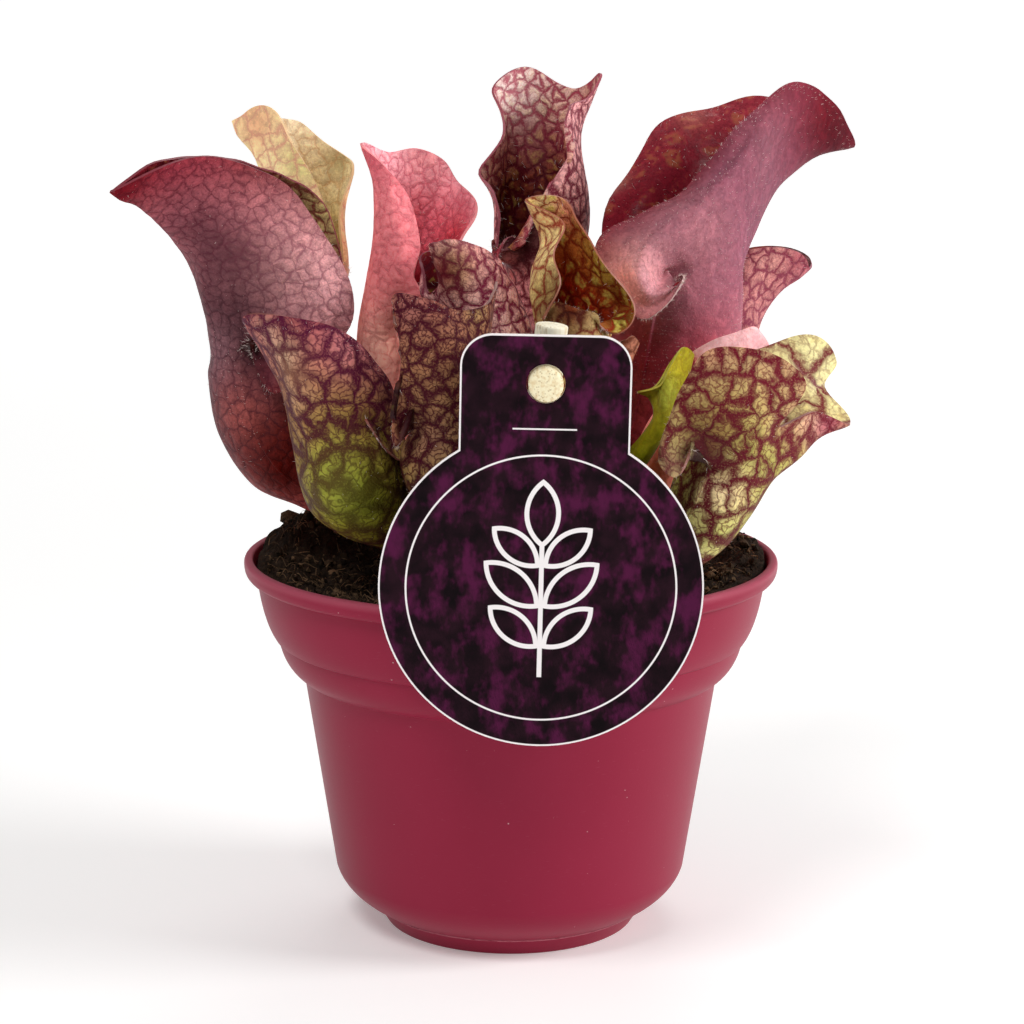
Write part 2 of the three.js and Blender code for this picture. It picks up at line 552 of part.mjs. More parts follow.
// The hole that a stalk stands in: the leaf's lower rings, grown by the clearance
function stalkHole(leaf) {
  const columns = HOLE_SIDES;
  const rings = leafGrid({ ...leaf, columns }).slice(0, 5).map((ring, row) => {
    const middle = centreOf(ring);
    return ring.map((point) => {
      const outward = point.clone().sub(middle).normalize();
      return point.addScaledVector(outward, GAP * 1.2).setZ(point.z - (row ? 0 : GAP));
    });
  });
  const points = [...rings.flat(), centreOf(rings[0]), centreOf(rings.at(-1))];
  const last = (rings.length - 1) * columns;
  const triangles = gridTriangles(0, columns, rings.length, false);
  for (let column = 0; column < columns; column += 1) {
    const next = (column + 1) % columns;
    triangles.push(points.length - 2, column, next);
    triangles.push(points.length - 1, last + next, last + column);
  }
  return meshOf(points, triangles);
}

// Soil
function soilHeight(x, y) {
  const heap = ({ x: heapX, y: heapY, height, spread }) => (
    height * Math.exp(-((x - heapX) ** 2 + (y - heapY) ** 2) / (2 * spread ** 2)));
  const crumbs = 0.35 * Math.sin(0.9 * x + 1.3) * Math.cos(0.8 * y) + 0.25 * Math.sin(1.7 * x - 1.1 * y);
  return SOIL_LEVEL + heap(SOIL_CROWN) + heap(SOIL_HEAP) + crumbs;
}
function makeSoil() {
  const wall = innerWall().map((point) => [point.x - GAP, Math.max(point.y, FLOOR_TOP + GAP)]);
  const edge = RIM_OPENING - 0.8 - GAP;
  const side = wall.reverse();
  const lid = [edge, edge - 4, edge - 9, edge - 15, edge - 21, edge - 28, edge - 35];
  const rings = [
    ...side.map(([radius, z]) => ringPoints(radius, () => z)),
    ...lid.map((radius, index) => ringPoints(radius, (x, y) => soilHeight(x, y) - (index ? 0 : 0.8))),
  ];
  const foot = new THREE.Vector3(0, 0, FLOOR_TOP + GAP);
  const top = new THREE.Vector3(0, 0, soilHeight(0, 0));
  const points = [...rings.flat(), foot, top];
  const triangles = gridTriangles(0, SOIL_SIDES, rings.length, true);
  const last = (rings.length - 1) * SOIL_SIDES;
  for (let side = 0; side < SOIL_SIDES; side += 1) {
    const next = (side + 1) % SOIL_SIDES;
    triangles.push(points.length - 2, next, side);
    triangles.push(points.length - 1, last + side, last + next);
  }
  let solid = toSolid(meshOf(points, triangles));
  for (const leaf of Object.values(LEAVES)) solid = solid.subtract(toSolid(stalkHole(leaf)));
  solid = solid.subtract(toSolid(stickBar(GAP)));
  addPiece('soil', toGeometry(solid), 0x2e241c, 1);
}
function ringPoints(radius, heightAt) {
  return Array.from({ length: SOIL_SIDES }, (_, side) => {
    const angle = (side / SOIL_SIDES) * 2 * Math.PI;
    const x = radius * Math.cos(angle);
    const y = radius * Math.sin(angle);
    return new THREE.Vector3(x, y, heightAt(x, y));
  });
}

// Stick, peg and tag
function stickBar(clearance) {
  const { top, shoulder, tip, radius, tipRadius } = STICK;
  const shaft = bar(shoulder, top, radius + clearance, radius + clearance);
  const down = new THREE.Vector3().subVectors(tip, shoulder).normalize();
  const end = tip.clone().addScaledVector(down, clearance);
  const point = bar(end, shoulder, tipRadius + clearance, radius + clearance);
  return toGeometry(toSolid(shaft).add(toSolid(point)));
}
function pegBar(from, to, radius) {
  return bar(new THREE.Vector3(PEG.x, from, PEG.z), new THREE.Vector3(PEG.x, to, PEG.z), radius, radius, 16);
}
function makeStickAndPeg() {
  const bore = toSolid(pegBar(PEG.back - 2, TENON.end + GAP, TENON.radius + GAP));
  addPiece('stick', toGeometry(toSolid(stickBar(0)).subtract(bore)), 0xd9c6a0, 0.8);
  const pin = toSolid(pegBar(PEG.front, PEG.back, PEG.radius));
  const tenon = toSolid(pegBar(PEG.back - 1, TENON.end, TENON.radius));
  addPiece('peg', toGeometry(pin.add(tenon)), 0xdccaa6, 0.8);
}
function makeTag() {
  const { halfWidth, height, corner, hole } = TAB;
  const side = Math.acos(halfWidth / DISC.radius);
  const disc = new THREE.Path().absarc(0, 0, DISC.radius, Math.PI - side, 2 * Math.PI + side, false);
  const right = new THREE.Path().absarc(halfWidth - corner, height - corner, corner, 0, Math.PI / 2, false);
  const left = new THREE.Path().absarc(corner - halfWidth, height - corner, corner, Math.PI / 2, Math.PI, false);
  const shape = new THREE.Shape([...disc.getPoints(40), ...right.getPoints(6), ...left.getPoints(6)]);
  const opening = new THREE.Path().absarc(0, hole, PEG.radius + GAP, 0, 2 * Math.PI, true);
  shape.holes.push(new THREE.Path(opening.getPoints(24).slice(1)));
  const geometry = new THREE.ExtrudeGeometry(shape, { depth: TAG_THICKNESS, bevelEnabled: false });
  geometry.rotateX(Math.PI / 2);
  const tag = addPiece('tag', geometry, 0x2b1720, 0.6);
  tag.position.set(DISC.x, TAG_BACK, DISC.z);
  tag.rotation.y = TAG_TILT;
}

makePot();
makeSoil();
for (const [name, leaf] of Object.entries(LEAVES)) addPiece(name, toGeometry(leafSolid(leaf)), leaf.colour, 0.6);
makeStickAndPeg();
makeTag();

export default part;
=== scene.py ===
import math

import bpy
import numpy as np
from mathutils import Matrix, Vector


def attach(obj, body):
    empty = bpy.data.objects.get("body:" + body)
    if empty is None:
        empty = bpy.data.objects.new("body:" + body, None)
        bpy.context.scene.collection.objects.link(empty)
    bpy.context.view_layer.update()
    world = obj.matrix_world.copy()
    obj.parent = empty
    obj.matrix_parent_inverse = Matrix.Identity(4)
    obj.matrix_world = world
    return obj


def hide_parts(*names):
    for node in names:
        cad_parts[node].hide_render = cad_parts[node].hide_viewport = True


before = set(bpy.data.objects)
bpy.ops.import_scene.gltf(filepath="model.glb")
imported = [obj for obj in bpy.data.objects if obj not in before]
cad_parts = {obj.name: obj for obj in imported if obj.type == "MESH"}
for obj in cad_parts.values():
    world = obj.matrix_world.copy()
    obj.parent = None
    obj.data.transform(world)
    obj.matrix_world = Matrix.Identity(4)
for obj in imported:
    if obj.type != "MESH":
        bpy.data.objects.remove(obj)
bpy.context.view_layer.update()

MM = 0.001

# Sizes that the pieces share with the solids
POT_HEIGHT = 63.7
RIM_RADIUS = 45.0
RIM_OPENING = 42.5
LIP_BOTTOM = 60.7
COLLAR_STEP = (39.5, 50.2)
BODY_TOP = (35.1, 43.7)
BODY_END = (29.9, 9.9)
FOOT_TOP = (23.1, 3.0)
FOOT_RADIUS = 21.3
POT_WALL = 1.3
FLOOR_BOTTOM = 1.4
FLOOR_TOP = 3.0
DRAIN_RADIUS = 3.0
DRAIN_CIRCLE = 13.0
DRAIN_COUNT = 5  # around the one in the middle
GAP = 0.3
SOIL_LEVEL = 60.2
# Soil heaps: x, y, height and spread
SOIL_HEAPS = [(0, 0, 1.4, 16), (-31, 12, 6, 7.5), (-34, 6, 2, 5), (37, 6, 3, 8), (33, -16, 1, 8)]
SOIL_BANK = 2.2  # how much the soil rises at the pot's wall
BANK_RADIUS = 35.5
BANK_SOFTNESS = 1.6
STALK_FOOT = 54.0
WING_HEIGHT = 0.9
WING_WIDTH = 0.035
TAG_TILT = math.radians(1)
DISC_X = 4.6
DISC_Z = 67.9
DISC_RADIUS = 24.8
TAB_HALF_WIDTH = 12.9
TAB_HEIGHT = 38.9
TAB_CORNER = 4.9
PEG_HEIGHT = 31.5  # above the disc's centre
PEG_RADIUS = 2.65
PEG_FRONT = -47.6
PEG_BACK = -42.4
TENON_RADIUS = 1.3
TENON_END = -38.4
STICK_RADIUS = 2.5
STICK_TOP = (6.1, -39.9, 107.6)
STICK_SHOULDER = (0.5, -36.9, 54.0)
STICK_TIP = (0.0, -36.0, 49.0)
STICK_TIP_RADIUS = 0.8

# Camera, at the photograph's viewing angle
CAMERA_PLACE = (0.15, -441.5, 157.9)
CAMERA_PITCH = math.radians(78.83)
CAMERA_ROLL = math.radians(0.24)
CAMERA_LENS = 93.7
SENSOR = 36.0

camera_data = bpy.data.cameras.new("camera")
camera_data.lens = CAMERA_LENS
camera_data.sensor_width = SENSOR
camera_data.clip_start = 0.02
camera_data.clip_end = 200
camera = bpy.data.objects.new("camera", camera_data)
bpy.context.scene.collection.objects.link(camera)
turned = Matrix.Rotation(CAMERA_PITCH, 4, "X") @ Matrix.Rotation(CAMERA_ROLL, 4, "Z")
camera.matrix_world = Matrix.Translation(Vector(CAMERA_PLACE) * MM) @ turned
bpy.context.scene.camera = camera
bpy.context.scene.view_settings.view_transform = "Standard"


# Shader maths
NET_UNEVENNESS = 0.9  # 0 is a square net


class Signal:
    """A socket of a finish, so that sums on it read as plain Python"""

    def __init__(self, finish, socket):
        self.finish = finish
        self.socket = socket

    def __add__(self, other):
        return self.finish.maths("ADD", self, other)

    def __sub__(self, other):
        return self.finish.maths("SUBTRACT", self, other)

    def __rsub__(self, other):
        return self.finish.maths("SUBTRACT", other, self)

    def __mul__(self, other):
        return self.finish.maths("MULTIPLY", self, other)

    def __truediv__(self, other):
        return self.finish.maths("DIVIDE", self, other)

    def __pow__(self, other):
        return self.finish.maths("POWER", self, other)

    def __abs__(self):
        return self.finish.maths("ABSOLUTE", self)

    __radd__ = __add__
    __rmul__ = __mul__


class Finish:
    """A material in the making: its nodes, its shader and the sums between them"""

    def __init__(self, name, roughness):
        self.material = bpy.data.materials.new(name)
        self.material.use_nodes = True
        self.tree = self.material.node_tree
        self.shader = self.tree.nodes["Principled BSDF"]
        self.set("Roughness", roughness)

    def set(self, name, value):
        self.feed(self.shader.inputs[name], value)

    def feed(self, socket, value):
        if isinstance(value, Signal):
            self.tree.links.new(value.socket, socket)
        else:
            socket.default_value = value

    def node(self, kind, settings=None, inputs=None, output=0):
        """Adds a node, sets it, feeds its sockets and gives one of its outputs"""
        node = self.tree.nodes.new(kind)
        for key, value in (settings or {}).items():
            setattr(node, key, value)
        for key, value in (inputs or {}).items():
            self.feed(node.inputs[key], value)
        return Signal(self, node.outputs[output])

    def maths(self, operation, *terms):
        return self.node("ShaderNodeMath", {"operation": operation}, dict(enumerate(terms)))

    def vector_maths(self, operation, *terms, output=0):
        return self.node("ShaderNodeVectorMath", {"operation": operation}, dict(enumerate(terms)), output)

    def scaled(self, vector, amount):
        return self.node("ShaderNodeVectorMath", {"operation": "SCALE"}, {0: vector, "Scale": amount})

    def place(self):
        """Object coordinates in millimetres"""
        here = self.node("ShaderNodeTexCoord", output="Object")
        return self.scaled(here, 1 / MM)

    def painted(self, name, output="Color"):
        return self.node("ShaderNodeAttribute", {"attribute_name": name}, output=output)

    def split(self, vector):
        """The three numbers of a vector"""
        parts = self.node("ShaderNodeSeparateXYZ", inputs={0: vector})
        return [parts] + [Signal(self, parts.socket.node.outputs[k]) for k in (1, 2)]

    def joined(self, x, y, z):
        return self.node("ShaderNodeCombineXYZ", inputs={0: x, 1: y, 2: z})

    def noise(self, vector, scale, detail=2.0, output=0):
        return self.node("ShaderNodeTexNoise", inputs={"Vector": vector, "Scale": scale, "Detail": detail},
                         output=output)

    def cells(self, vector, scale, feature, output):
        """A flat net of uneven cells"""
        return self.node("ShaderNodeTexVoronoi", {"feature": feature, "voronoi_dimensions": "2D"},
                         {"Vector": vector, "Scale": scale, "Randomness": NET_UNEVENNESS}, output)

    def net(self, vector, scale):
        """Distance from the net's nearest line"""
        return self.cells(vector, scale, "DISTANCE_TO_EDGE", "Distance")

    def each_cell(self, vector, scale):
        """A random number for each cell of the net"""
        return self.split(self.cells(vector, scale, "F1", "Color"))[0]

    def rise(self, value, low, high):
        """0 below low, 1 above high, and smooth between them"""
        return self.node("ShaderNodeMapRange", {"interpolation_type": "SMOOTHSTEP"},
                         {"Value": value, "From Min": low, "From Max": high})

    def mix(self, amount, first, second, blend="MIX"):
        """One colour laid over another by an amount"""
        settings = {"data_type": "RGBA", "blend_type": blend, "clamp_factor": True}
        return self.node("ShaderNodeMix", settings, {0: amount, 6: first, 7: second}, 2)

    def bump(self, height, depth, strength=1.0):
        """Feeds the shader's normal from a height from 0 to 1, whose depth is in millimetres"""
        inputs = {"Strength": strength, "Distance": depth * MM, "Height": height}
        self.set("Normal", self.node("ShaderNodeBump", inputs=inputs))


def ink(code):
    """A colour written as a web code, as the linear opaque colour that Blender works in"""
    parts = [(code >> shift & 255) / 255 for shift in (16, 8, 0)]
    return tuple(c / 12.92 if c < 0.04045 else ((c + 0.055) / 1.055) ** 2.4 for c in parts) + (1.0,)


# Modelling helpers
SAME_PLACE = 1e-6  # metres between points that are merged
HOOD_SHARE = 0.6  # share of a leaf's rows below its hood


def deselect():
    if bpy.context.object and bpy.context.object.mode == "EDIT":
        bpy.ops.object.mode_set(mode="OBJECT")
    bpy.ops.object.select_all(action="DESELECT")


def make_active(piece):
    deselect()
    piece.select_set(True)
    bpy.context.view_layer.objects.active = piece


def named(name):
    piece = bpy.context.object
    piece.name = name
    piece.data.name = name
    return piece


def apply_modifier(piece, kind, **settings):
    make_active(piece)
    modifier = piece.modifiers.new(kind.lower(), kind)
    for key, value in settings.items():
        setattr(modifier, key, value)
    bpy.ops.object.modifier_apply(modifier=modifier.name)


def dress(piece, *finishes):
    piece.data.materials.clear()
    for finish in finishes:
        piece.data.materials.append(finish.material)


def edit_all(piece, operator, **settings):
    """Runs a mesh operator on the whole piece"""
    make_active(piece)
    bpy.ops.object.mode_set(mode="EDIT")
    bpy.ops.mesh.select_all(action="SELECT")
    operator(**settings)
    bpy.ops.object.mode_set(mode="OBJECT")


def merge_with(piece, other, operation):
    """Adds another object to the piece or takes it away, and removes that object"""
    apply_modifier(piece, "BOOLEAN", object=other, operation=operation, solver="EXACT")
    bpy.data.objects.remove(other)


def round_edges(piece, width, segments, degrees):
    apply_modifier(piece, "BEVEL", width=width * MM, segments=segments, limit_method="ANGLE",
                   angle_limit=math.radians(degrees))


def smooth(piece, degrees):
    make_active(piece)
    bpy.ops.object.shade_smooth_by_angle(angle=math.radians(degrees))


def hand_over(piece, node):
    """The piece stands for this node of the solid model"""
    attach(piece, "root")
    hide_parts(node)


def read(collection, name, width):
    values = np.empty(len(collection) * width, np.float32)
    collection.foreach_get(name, values)
    return values.reshape(-1, width)


def fuse(piece, *others):
    """Joins the others into the piece"""
    make_active(piece)
    for other in others:
        other.select_set(True)
    bpy.ops.object.join()


def mesh_piece(name, points, faces):
    """An object from points in millimetres and faces"""
    mesh = bpy.data.meshes.new(name)
    mesh.from_pydata((np.asarray(points) * MM).tolist(), [], np.asarray(faces).tolist())
    piece = bpy.data.objects.new(name, mesh)
    bpy.context.scene.collection.objects.link(piece)
    return piece


def paint(mesh, name, colours):
    """Puts a colour on each of the mesh's points"""
    layer = mesh.attributes.new(name, "FLOAT_COLOR", "POINT")
    layer.data.foreach_set("color", colours.astype(np.float32).ravel())


def wrapped_sheet(name, surface, painted, cell=None):
    """A grid of faces laid on a surface that closes on itself, with its seam and its poles merged.
    surface and painted hold one place and colours for each row and column. The rows run from the foot up.
    With a cell, the sheet is unwrapped from its seam, one unit of its UV map is one cell, and its foot
    is drawn to a point."""
    rows = surface.shape[0] - 1
    columns = surface.shape[1]
    deselect()
    bpy.ops.mesh.primitive_grid_add(x_subdivisions=columns, y_subdivisions=rows, size=1)
    piece = named(name)
    mesh = piece.data
    flat = read(mesh.vertices, "co", 3)
    column = np.rint((0.5 - flat[:, 0]) * columns).astype(int) % columns
    row = np.rint((flat[:, 1] + 0.5) * rows).astype(int)
    places = (surface[row, column] * MM).astype(np.float32)
    mesh.vertices.foreach_set("co", places.ravel())
    for key, colours in painted.items():
        paint(mesh, key, colours[row, column])
    if cell:
        edit_all(piece, bpy.ops.uv.unwrap, method="CONFORMAL", margin=0)
        scale_net(mesh, row, cell)
        places[row == 0] = places[row == 0].mean(0)
        mesh.vertices.foreach_set("co", places.ravel())
    edit_all(piece, bpy.ops.mesh.remove_doubles, threshold=SAME_PLACE)
    return piece


def scale_net(mesh, row, cell):
    """Scales the UV map so that one unit is one cell of the net on the hood, by the areas of its faces"""
    layer = mesh.uv_layers.active.data
    spots = read(layer, "uv", 2).reshape(-1, 4, 2)
    corners = read(mesh.loops, "vertex_index", 1).astype(int).reshape(-1, 4)
    co = read(mesh.vertices, "co", 3)[corners] / MM
    wide, tall = co[:, 2] - co[:, 0], co[:, 3] - co[:, 1]
    real = np.linalg.norm(np.cross(wide, tall), axis=-1)
    wide, tall = spots[:, 2] - spots[:, 0], spots[:, 3] - spots[:, 1]
    drawn = np.abs(wide[:, 0] * tall[:, 1] - wide[:, 1] * tall[:, 0])
    hood = row[corners[:, 0]] > row.max() * HOOD_SHARE
    share = math.sqrt(real[hood].sum() / drawn[hood].sum()) / cell
    layer.foreach_set("uv", (spots * share).astype(np.float32).ravel())


def ripple(points, rng, wavelength, count):
    """A gentle uneven swell from about -1 to 1 over points in space, made of a few crossing waves"""
    total = np.zeros(points.shape[:-1])
    for _ in range(count):
        direction = rng.normal(size=3)
        direction /= np.linalg.norm(direction)
        length = wavelength * rng.uniform(0.7, 1.5)
        total += np.sin(points @ direction * 2 * math.pi / length + rng.uniform(0, 2 * math.pi))
    return total / (0.7 * count)


def unit(vectors):
    return vectors / np.maximum(np.linalg.norm(vectors, axis=-1, keepdims=True), 1e-9)


def three_corners(centre, width, across, over):
    """Corners of a three-sided section around a place, which two directions span"""
    turns = (0, 2 * math.pi / 3, 4 * math.pi / 3)
    return [centre + width * (math.cos(turn) * across + math.sin(turn) * over) for turn in turns]


def spline(points, shares, closed=False):
    """Places on the smooth curve through the points, at shares of its run"""
    if closed:
        spans = len(points)
        padded = np.concatenate([points[-1:], points, points[:2]])
    else:
        spans = len(points) - 1
        padded = np.concatenate([2 * points[:1] - points[1:2], points, 2 * points[-1:] - points[-2:-1]])
    run = shares * spans
    span = np.minimum(run.astype(int), spans - 1)
    t = (run - span).reshape((-1,) + (1,) * (points.ndim - 1))
    a, b, c, d = (padded[span + k] for k in range(4))
    return b + 0.5 * t * (c - a + t * (2 * a - 5 * b + 4 * c - d + t * (3 * (b - c) + d - a)))


# Leaf finishes. Lengths in the net are shares of a cell.
THREAD_WIDTH = 0.025
BOLD_WIDTH = 0.15  # added to the thread where the net is strong
FINE_NET = 3.2  # cells of the finer net along one cell


def leaf_finish(name, cells, veins, roughness, gloss, spotted):
    """A netted leaf: cells between branching veins, with a finer net inside the cells.
    The alpha of the cells' colour is the net's strength. The alpha of the veins' colour is the finer net's
    strength on a plain leaf, and the share of yellow-green cells on a spotted one."""
    finish = Finish(name, roughness)
    flow = finish.node("ShaderNodeUVMap", {"uv_map": "UVMap"})
    slow = finish.vector_maths("SUBTRACT", finish.noise(flow, 0.8, 1, "Color"), (0.5, 0.5, 0.5))
    quick = finish.vector_maths("SUBTRACT", finish.noise(flow, 2.6, 3, "Color"), (0.5, 0.5, 0.5))
    wander = finish.vector_maths("ADD", finish.scaled(slow, 0.9), finish.scaled(quick, 0.42))
    wandering = finish.vector_maths("ADD", flow, wander)
    swell = finish.noise(flow, 0.9, 2)
    bold = finish.painted(cells, "Alpha")
    extra = finish.painted(veins, "Alpha")
    width = finish.rise(swell, 0.3, 0.7) * BOLD_WIDTH * bold + THREAD_WIDTH
    distance = finish.net(wandering, 1.0)
    main = (1 - finish.rise(distance / width, 0.1, 1.7)) * finish.rise(bold, 0.0, 0.8)
    halo = (1 - finish.rise(distance, 0.0, 0.3)) * finish.rise(bold, 0.0, 1.4)
    small = finish.net(finish.vector_maths("ADD", wandering, finish.scaled(quick, 0.25)), FINE_NET)
    delicate = finish.rise(bold, 0.0, 0.8) * 0.6 if spotted else extra
    fine = (1 - finish.rise(small, 0.0, 0.2)) * delicate
    heart = finish.rise(distance, 0.08, 0.36)
    tone = finish.each_cell(wandering, 1.0)
    place = finish.place()
    mottle = finish.noise(place, 0.22, 4)
    freckle = finish.noise(place, 0.75, 3)
    dapple = finish.noise(place, 1.7, 3)
    grain = finish.noise(place, 3.4, 3)
    cell = finish.painted(cells)
    vein = finish.painted(veins)
    light = finish.mix(1.0, cell, (1.6, 1.55, 1.5, 1), "MULTIPLY")
    deep = finish.mix(1.0, cell, (0.6, 0.52, 0.55, 1), "MULTIPLY")
    shadow = finish.mix(0.5, deep, vein)
    colour = finish.mix(finish.rise(freckle + tone * 0.25, 0.5, 0.95) * 0.85, cell, light)
    colour = finish.mix(finish.rise(mottle, 0.45, 0.68) * finish.rise(bold, 0.0, 0.9) * 0.75, colour, deep)
    colour = finish.mix(heart * 0.25, colour, light)
    colour = finish.mix(finish.rise(dapple, 0.52, 0.7) * 0.45, colour, light)
    colour = finish.mix(finish.rise(1 - dapple, 0.52, 0.7) * 0.4, colour, shadow)
    if spotted:
        spot = finish.rise(freckle + tone * 0.3, 0.64, 0.84) * finish.rise(distance, 0.04, 0.26) * extra
        colour = finish.mix(spot, colour, ink(0xd4c45c))
    colour = finish.mix(halo * 0.65, colour, vein)
    colour = finish.mix(fine * 0.75, colour, vein)
    colour = finish.mix(main * 0.95, colour, vein)
    colour = finish.mix(finish.rise(grain, 0.5, 0.78) * 0.3, colour, light)
    finish.set("Base Color", colour)
    finish.set("Roughness", roughness + (grain - 0.5) * 0.3)
    finish.set("Coat Weight", gloss)
    finish.set("Coat Roughness", 0.22)
    finish.bump(heart * 0.5 + grain * 0.35 - main * 0.35 - fine * 0.2, 0.2, 0.9)
    return finish


SKIN = leaf_finish("pitcher_skin", "skin", "veins", roughness=0.52, gloss=0.0, spotted=False)
SKIN.set("Specular IOR Level", 0.06)
SKIN.set("Subsurface Weight", 0.05)
SKIN.set("Subsurface Scale", 0.0015)
THROAT = leaf_finish("pitcher_throat", "throat", "throat_veins", roughness=0.3, gloss=0.06, spotted=True)
THROAT.set("Specular IOR Level", 0.08)
THROAT.set("Coat Roughness", 0.12)

MARGIN = Finish("pitcher_margin", 0.5)
margin_colour = MARGIN.painted("margin")
margin_grain = MARGIN.noise(MARGIN.place(), 1.6, 3)
MARGIN.set("Base Color", MARGIN.mix(margin_grain * 0.5, margin_colour, MARGIN.painted("veins")))
MARGIN.bump(margin_grain, 0.08)

DOWN = Finish("pitcher_down", 0.6)
down_grain = DOWN.noise(DOWN.place(), 0.8, 2)
DOWN.set("Base Color", DOWN.mix(down_grain, ink(0xd8c0b8), ink(0xfaf0e8)))


def plastic_finish():
    """Satin raspberry-rose moulded plastic, with flow marks, fine scuffs, and painted highlights along the
    parting line and on the lip's top
    """
    finish = Finish("pot_plastic", 0.38)
    place = finish.place()
    x, y, z = finish.split(place)
    parting = abs(z - FOOT_TOP[1])
    cloud = finish.noise(place, 0.045, 3)
    scuff = finish.noise(finish.joined(x, y, z * 6.0), 0.9, 4)
    speck = finish.noise(place, 3.5, 2)
    # seam: a thin band along the parting line above the foot, broken by the scuffs, which is painted paler as
    # a highlight
    seam = (1 - finish.rise(parting, 0.1, 0.24)) * finish.rise(scuff, 0.35, 0.5)
    flake = finish.node("ShaderNodeTexVoronoi", inputs={"Vector": place, "Scale": 0.32})
    dust = 1 - finish.rise(flake, 0.03, 0.05)
    colour = finish.mix(cloud, ink(0x861a34), ink(0x92223e))
    colour = finish.mix(finish.rise(scuff, 0.62, 0.8) * 0.1, colour, ink(0xc87c8c))
    # Painted highlight along the parting line
    colour = finish.mix(seam * 0.6, colour, ink(0xe090a0))
    # The lip's top is painted paler: a painted highlight where the rounded lip catches the light
    colour = finish.mix(finish.rise(z, LIP_BOTTOM + 1.4, POT_HEIGHT) * 0.3, colour, ink(0xd07c8c))
    finish.set("Base Color", finish.mix(dust * finish.rise(speck, 0.5, 0.56) * 0.6, colour, ink(0xe8c8cc)))
    finish.set("Roughness", 0.34 + cloud * 0.12 + scuff * 0.08)
    finish.set("Specular IOR Level", 0.1)
    finish.set("Coat Weight", 0.05)
    finish.set("Coat Roughness", 0.2)
    finish.bump(speck * 0.6 + scuff * 0.4, 0.035, 0.5)
    return finish


def peat_finish():
    """Dark damp peat: crumbs from black-brown to fibre brown, each with its own painted tone"""
    finish = Finish("peat", 0.9)
    place = finish.place()
    clod = finish.noise(place, 0.55, 4)
    crumb = finish.noise(place, 2.2, 5)
    tone = finish.painted("peat_tone")
    dark = finish.mix(finish.rise(clod, 0.3, 0.7), ink(0x0a0604), ink(0x2e2118))
    brown = finish.mix(finish.rise(crumb, 0.48, 0.7) * 0.6, dark, ink(0x64503a))
    finish.set("Base Color", finish.mix(0.7, brown, tone))
    finish.set("Roughness", 0.8 + crumb * 0.15)
    finish.set("Specular IOR Level", 0.12)
    finish.bump(crumb * 0.7 + clod * 0.5, 0.5, 1.0)
    return finish


def wood_finish(name, grain_axis, base, streak):
    """Pale birch with long fibres, and pores on the cut ends"""
    finish = Finish(name, 0.62)
    place = finish.place()
    parts = finish.split(place)

    def drawn_out(lengthwise, sideways):
        """The place, with its scale along the grain and across it"""
        return finish.joined(*[part * (lengthwise if k == grain_axis else sideways)
                               for k, part in enumerate(parts)])

    fibre = finish.noise(drawn_out(0.12, 1.6), 1.1, 4)
    pores = finish.node("ShaderNodeTexVoronoi", inputs={"Vector": drawn_out(0.25, 1.0), "Scale": 2.1})
    pore = 1 - finish.rise(pores, 0.16, 0.34)
    colour = finish.mix(finish.rise(fibre, 0.42, 0.7) * 0.55, ink(base), ink(streak))
    finish.set("Base Color", finish.mix(pore * 0.45, colour, ink(0x9a7846)))
    finish.set("Roughness", 0.55 + fibre * 0.2)
    finish.bump(fibre * 0.6 - pore * 0.5, 0.08, 0.7)
    return finish


# Print on the tag, in millimetres from the disc's centre
RING_RADIUS = 20.6
RING_LINE = 0.14  # half the width of a line
SPRIG_LINE = 0.36
SPRIG_LEAVES = ((-9.5, 10.0), (-3.2, 11.0), (3.1, 9.5))  # height on the stem and length of each pair
SPRIG_LEAN = math.radians(50)
SPRIG_PLUMPNESS = 0.21
SPRIG_TIP = (6.0, 10.5, 2.4)  # height on the stem, length and half width of the top leaf
LEAF_START = 0.8  # gap between the stem and a leaf
STEM_MIDDLE = -3.6
STEM_HALF = 10.2
RULE_HEIGHT = 24.6
RULE_LINE = 0.12
RULE_HALF = 4.8
CUT_EDGE = (-0.32, -0.22)  # where the print ends, inside the card's outline
TAB_START = 2.0  # where the tab's outline starts, inside the disc's
STREAKS = (-8.4, 1.4)  # the dark streaks are full below the first height and gone above the second


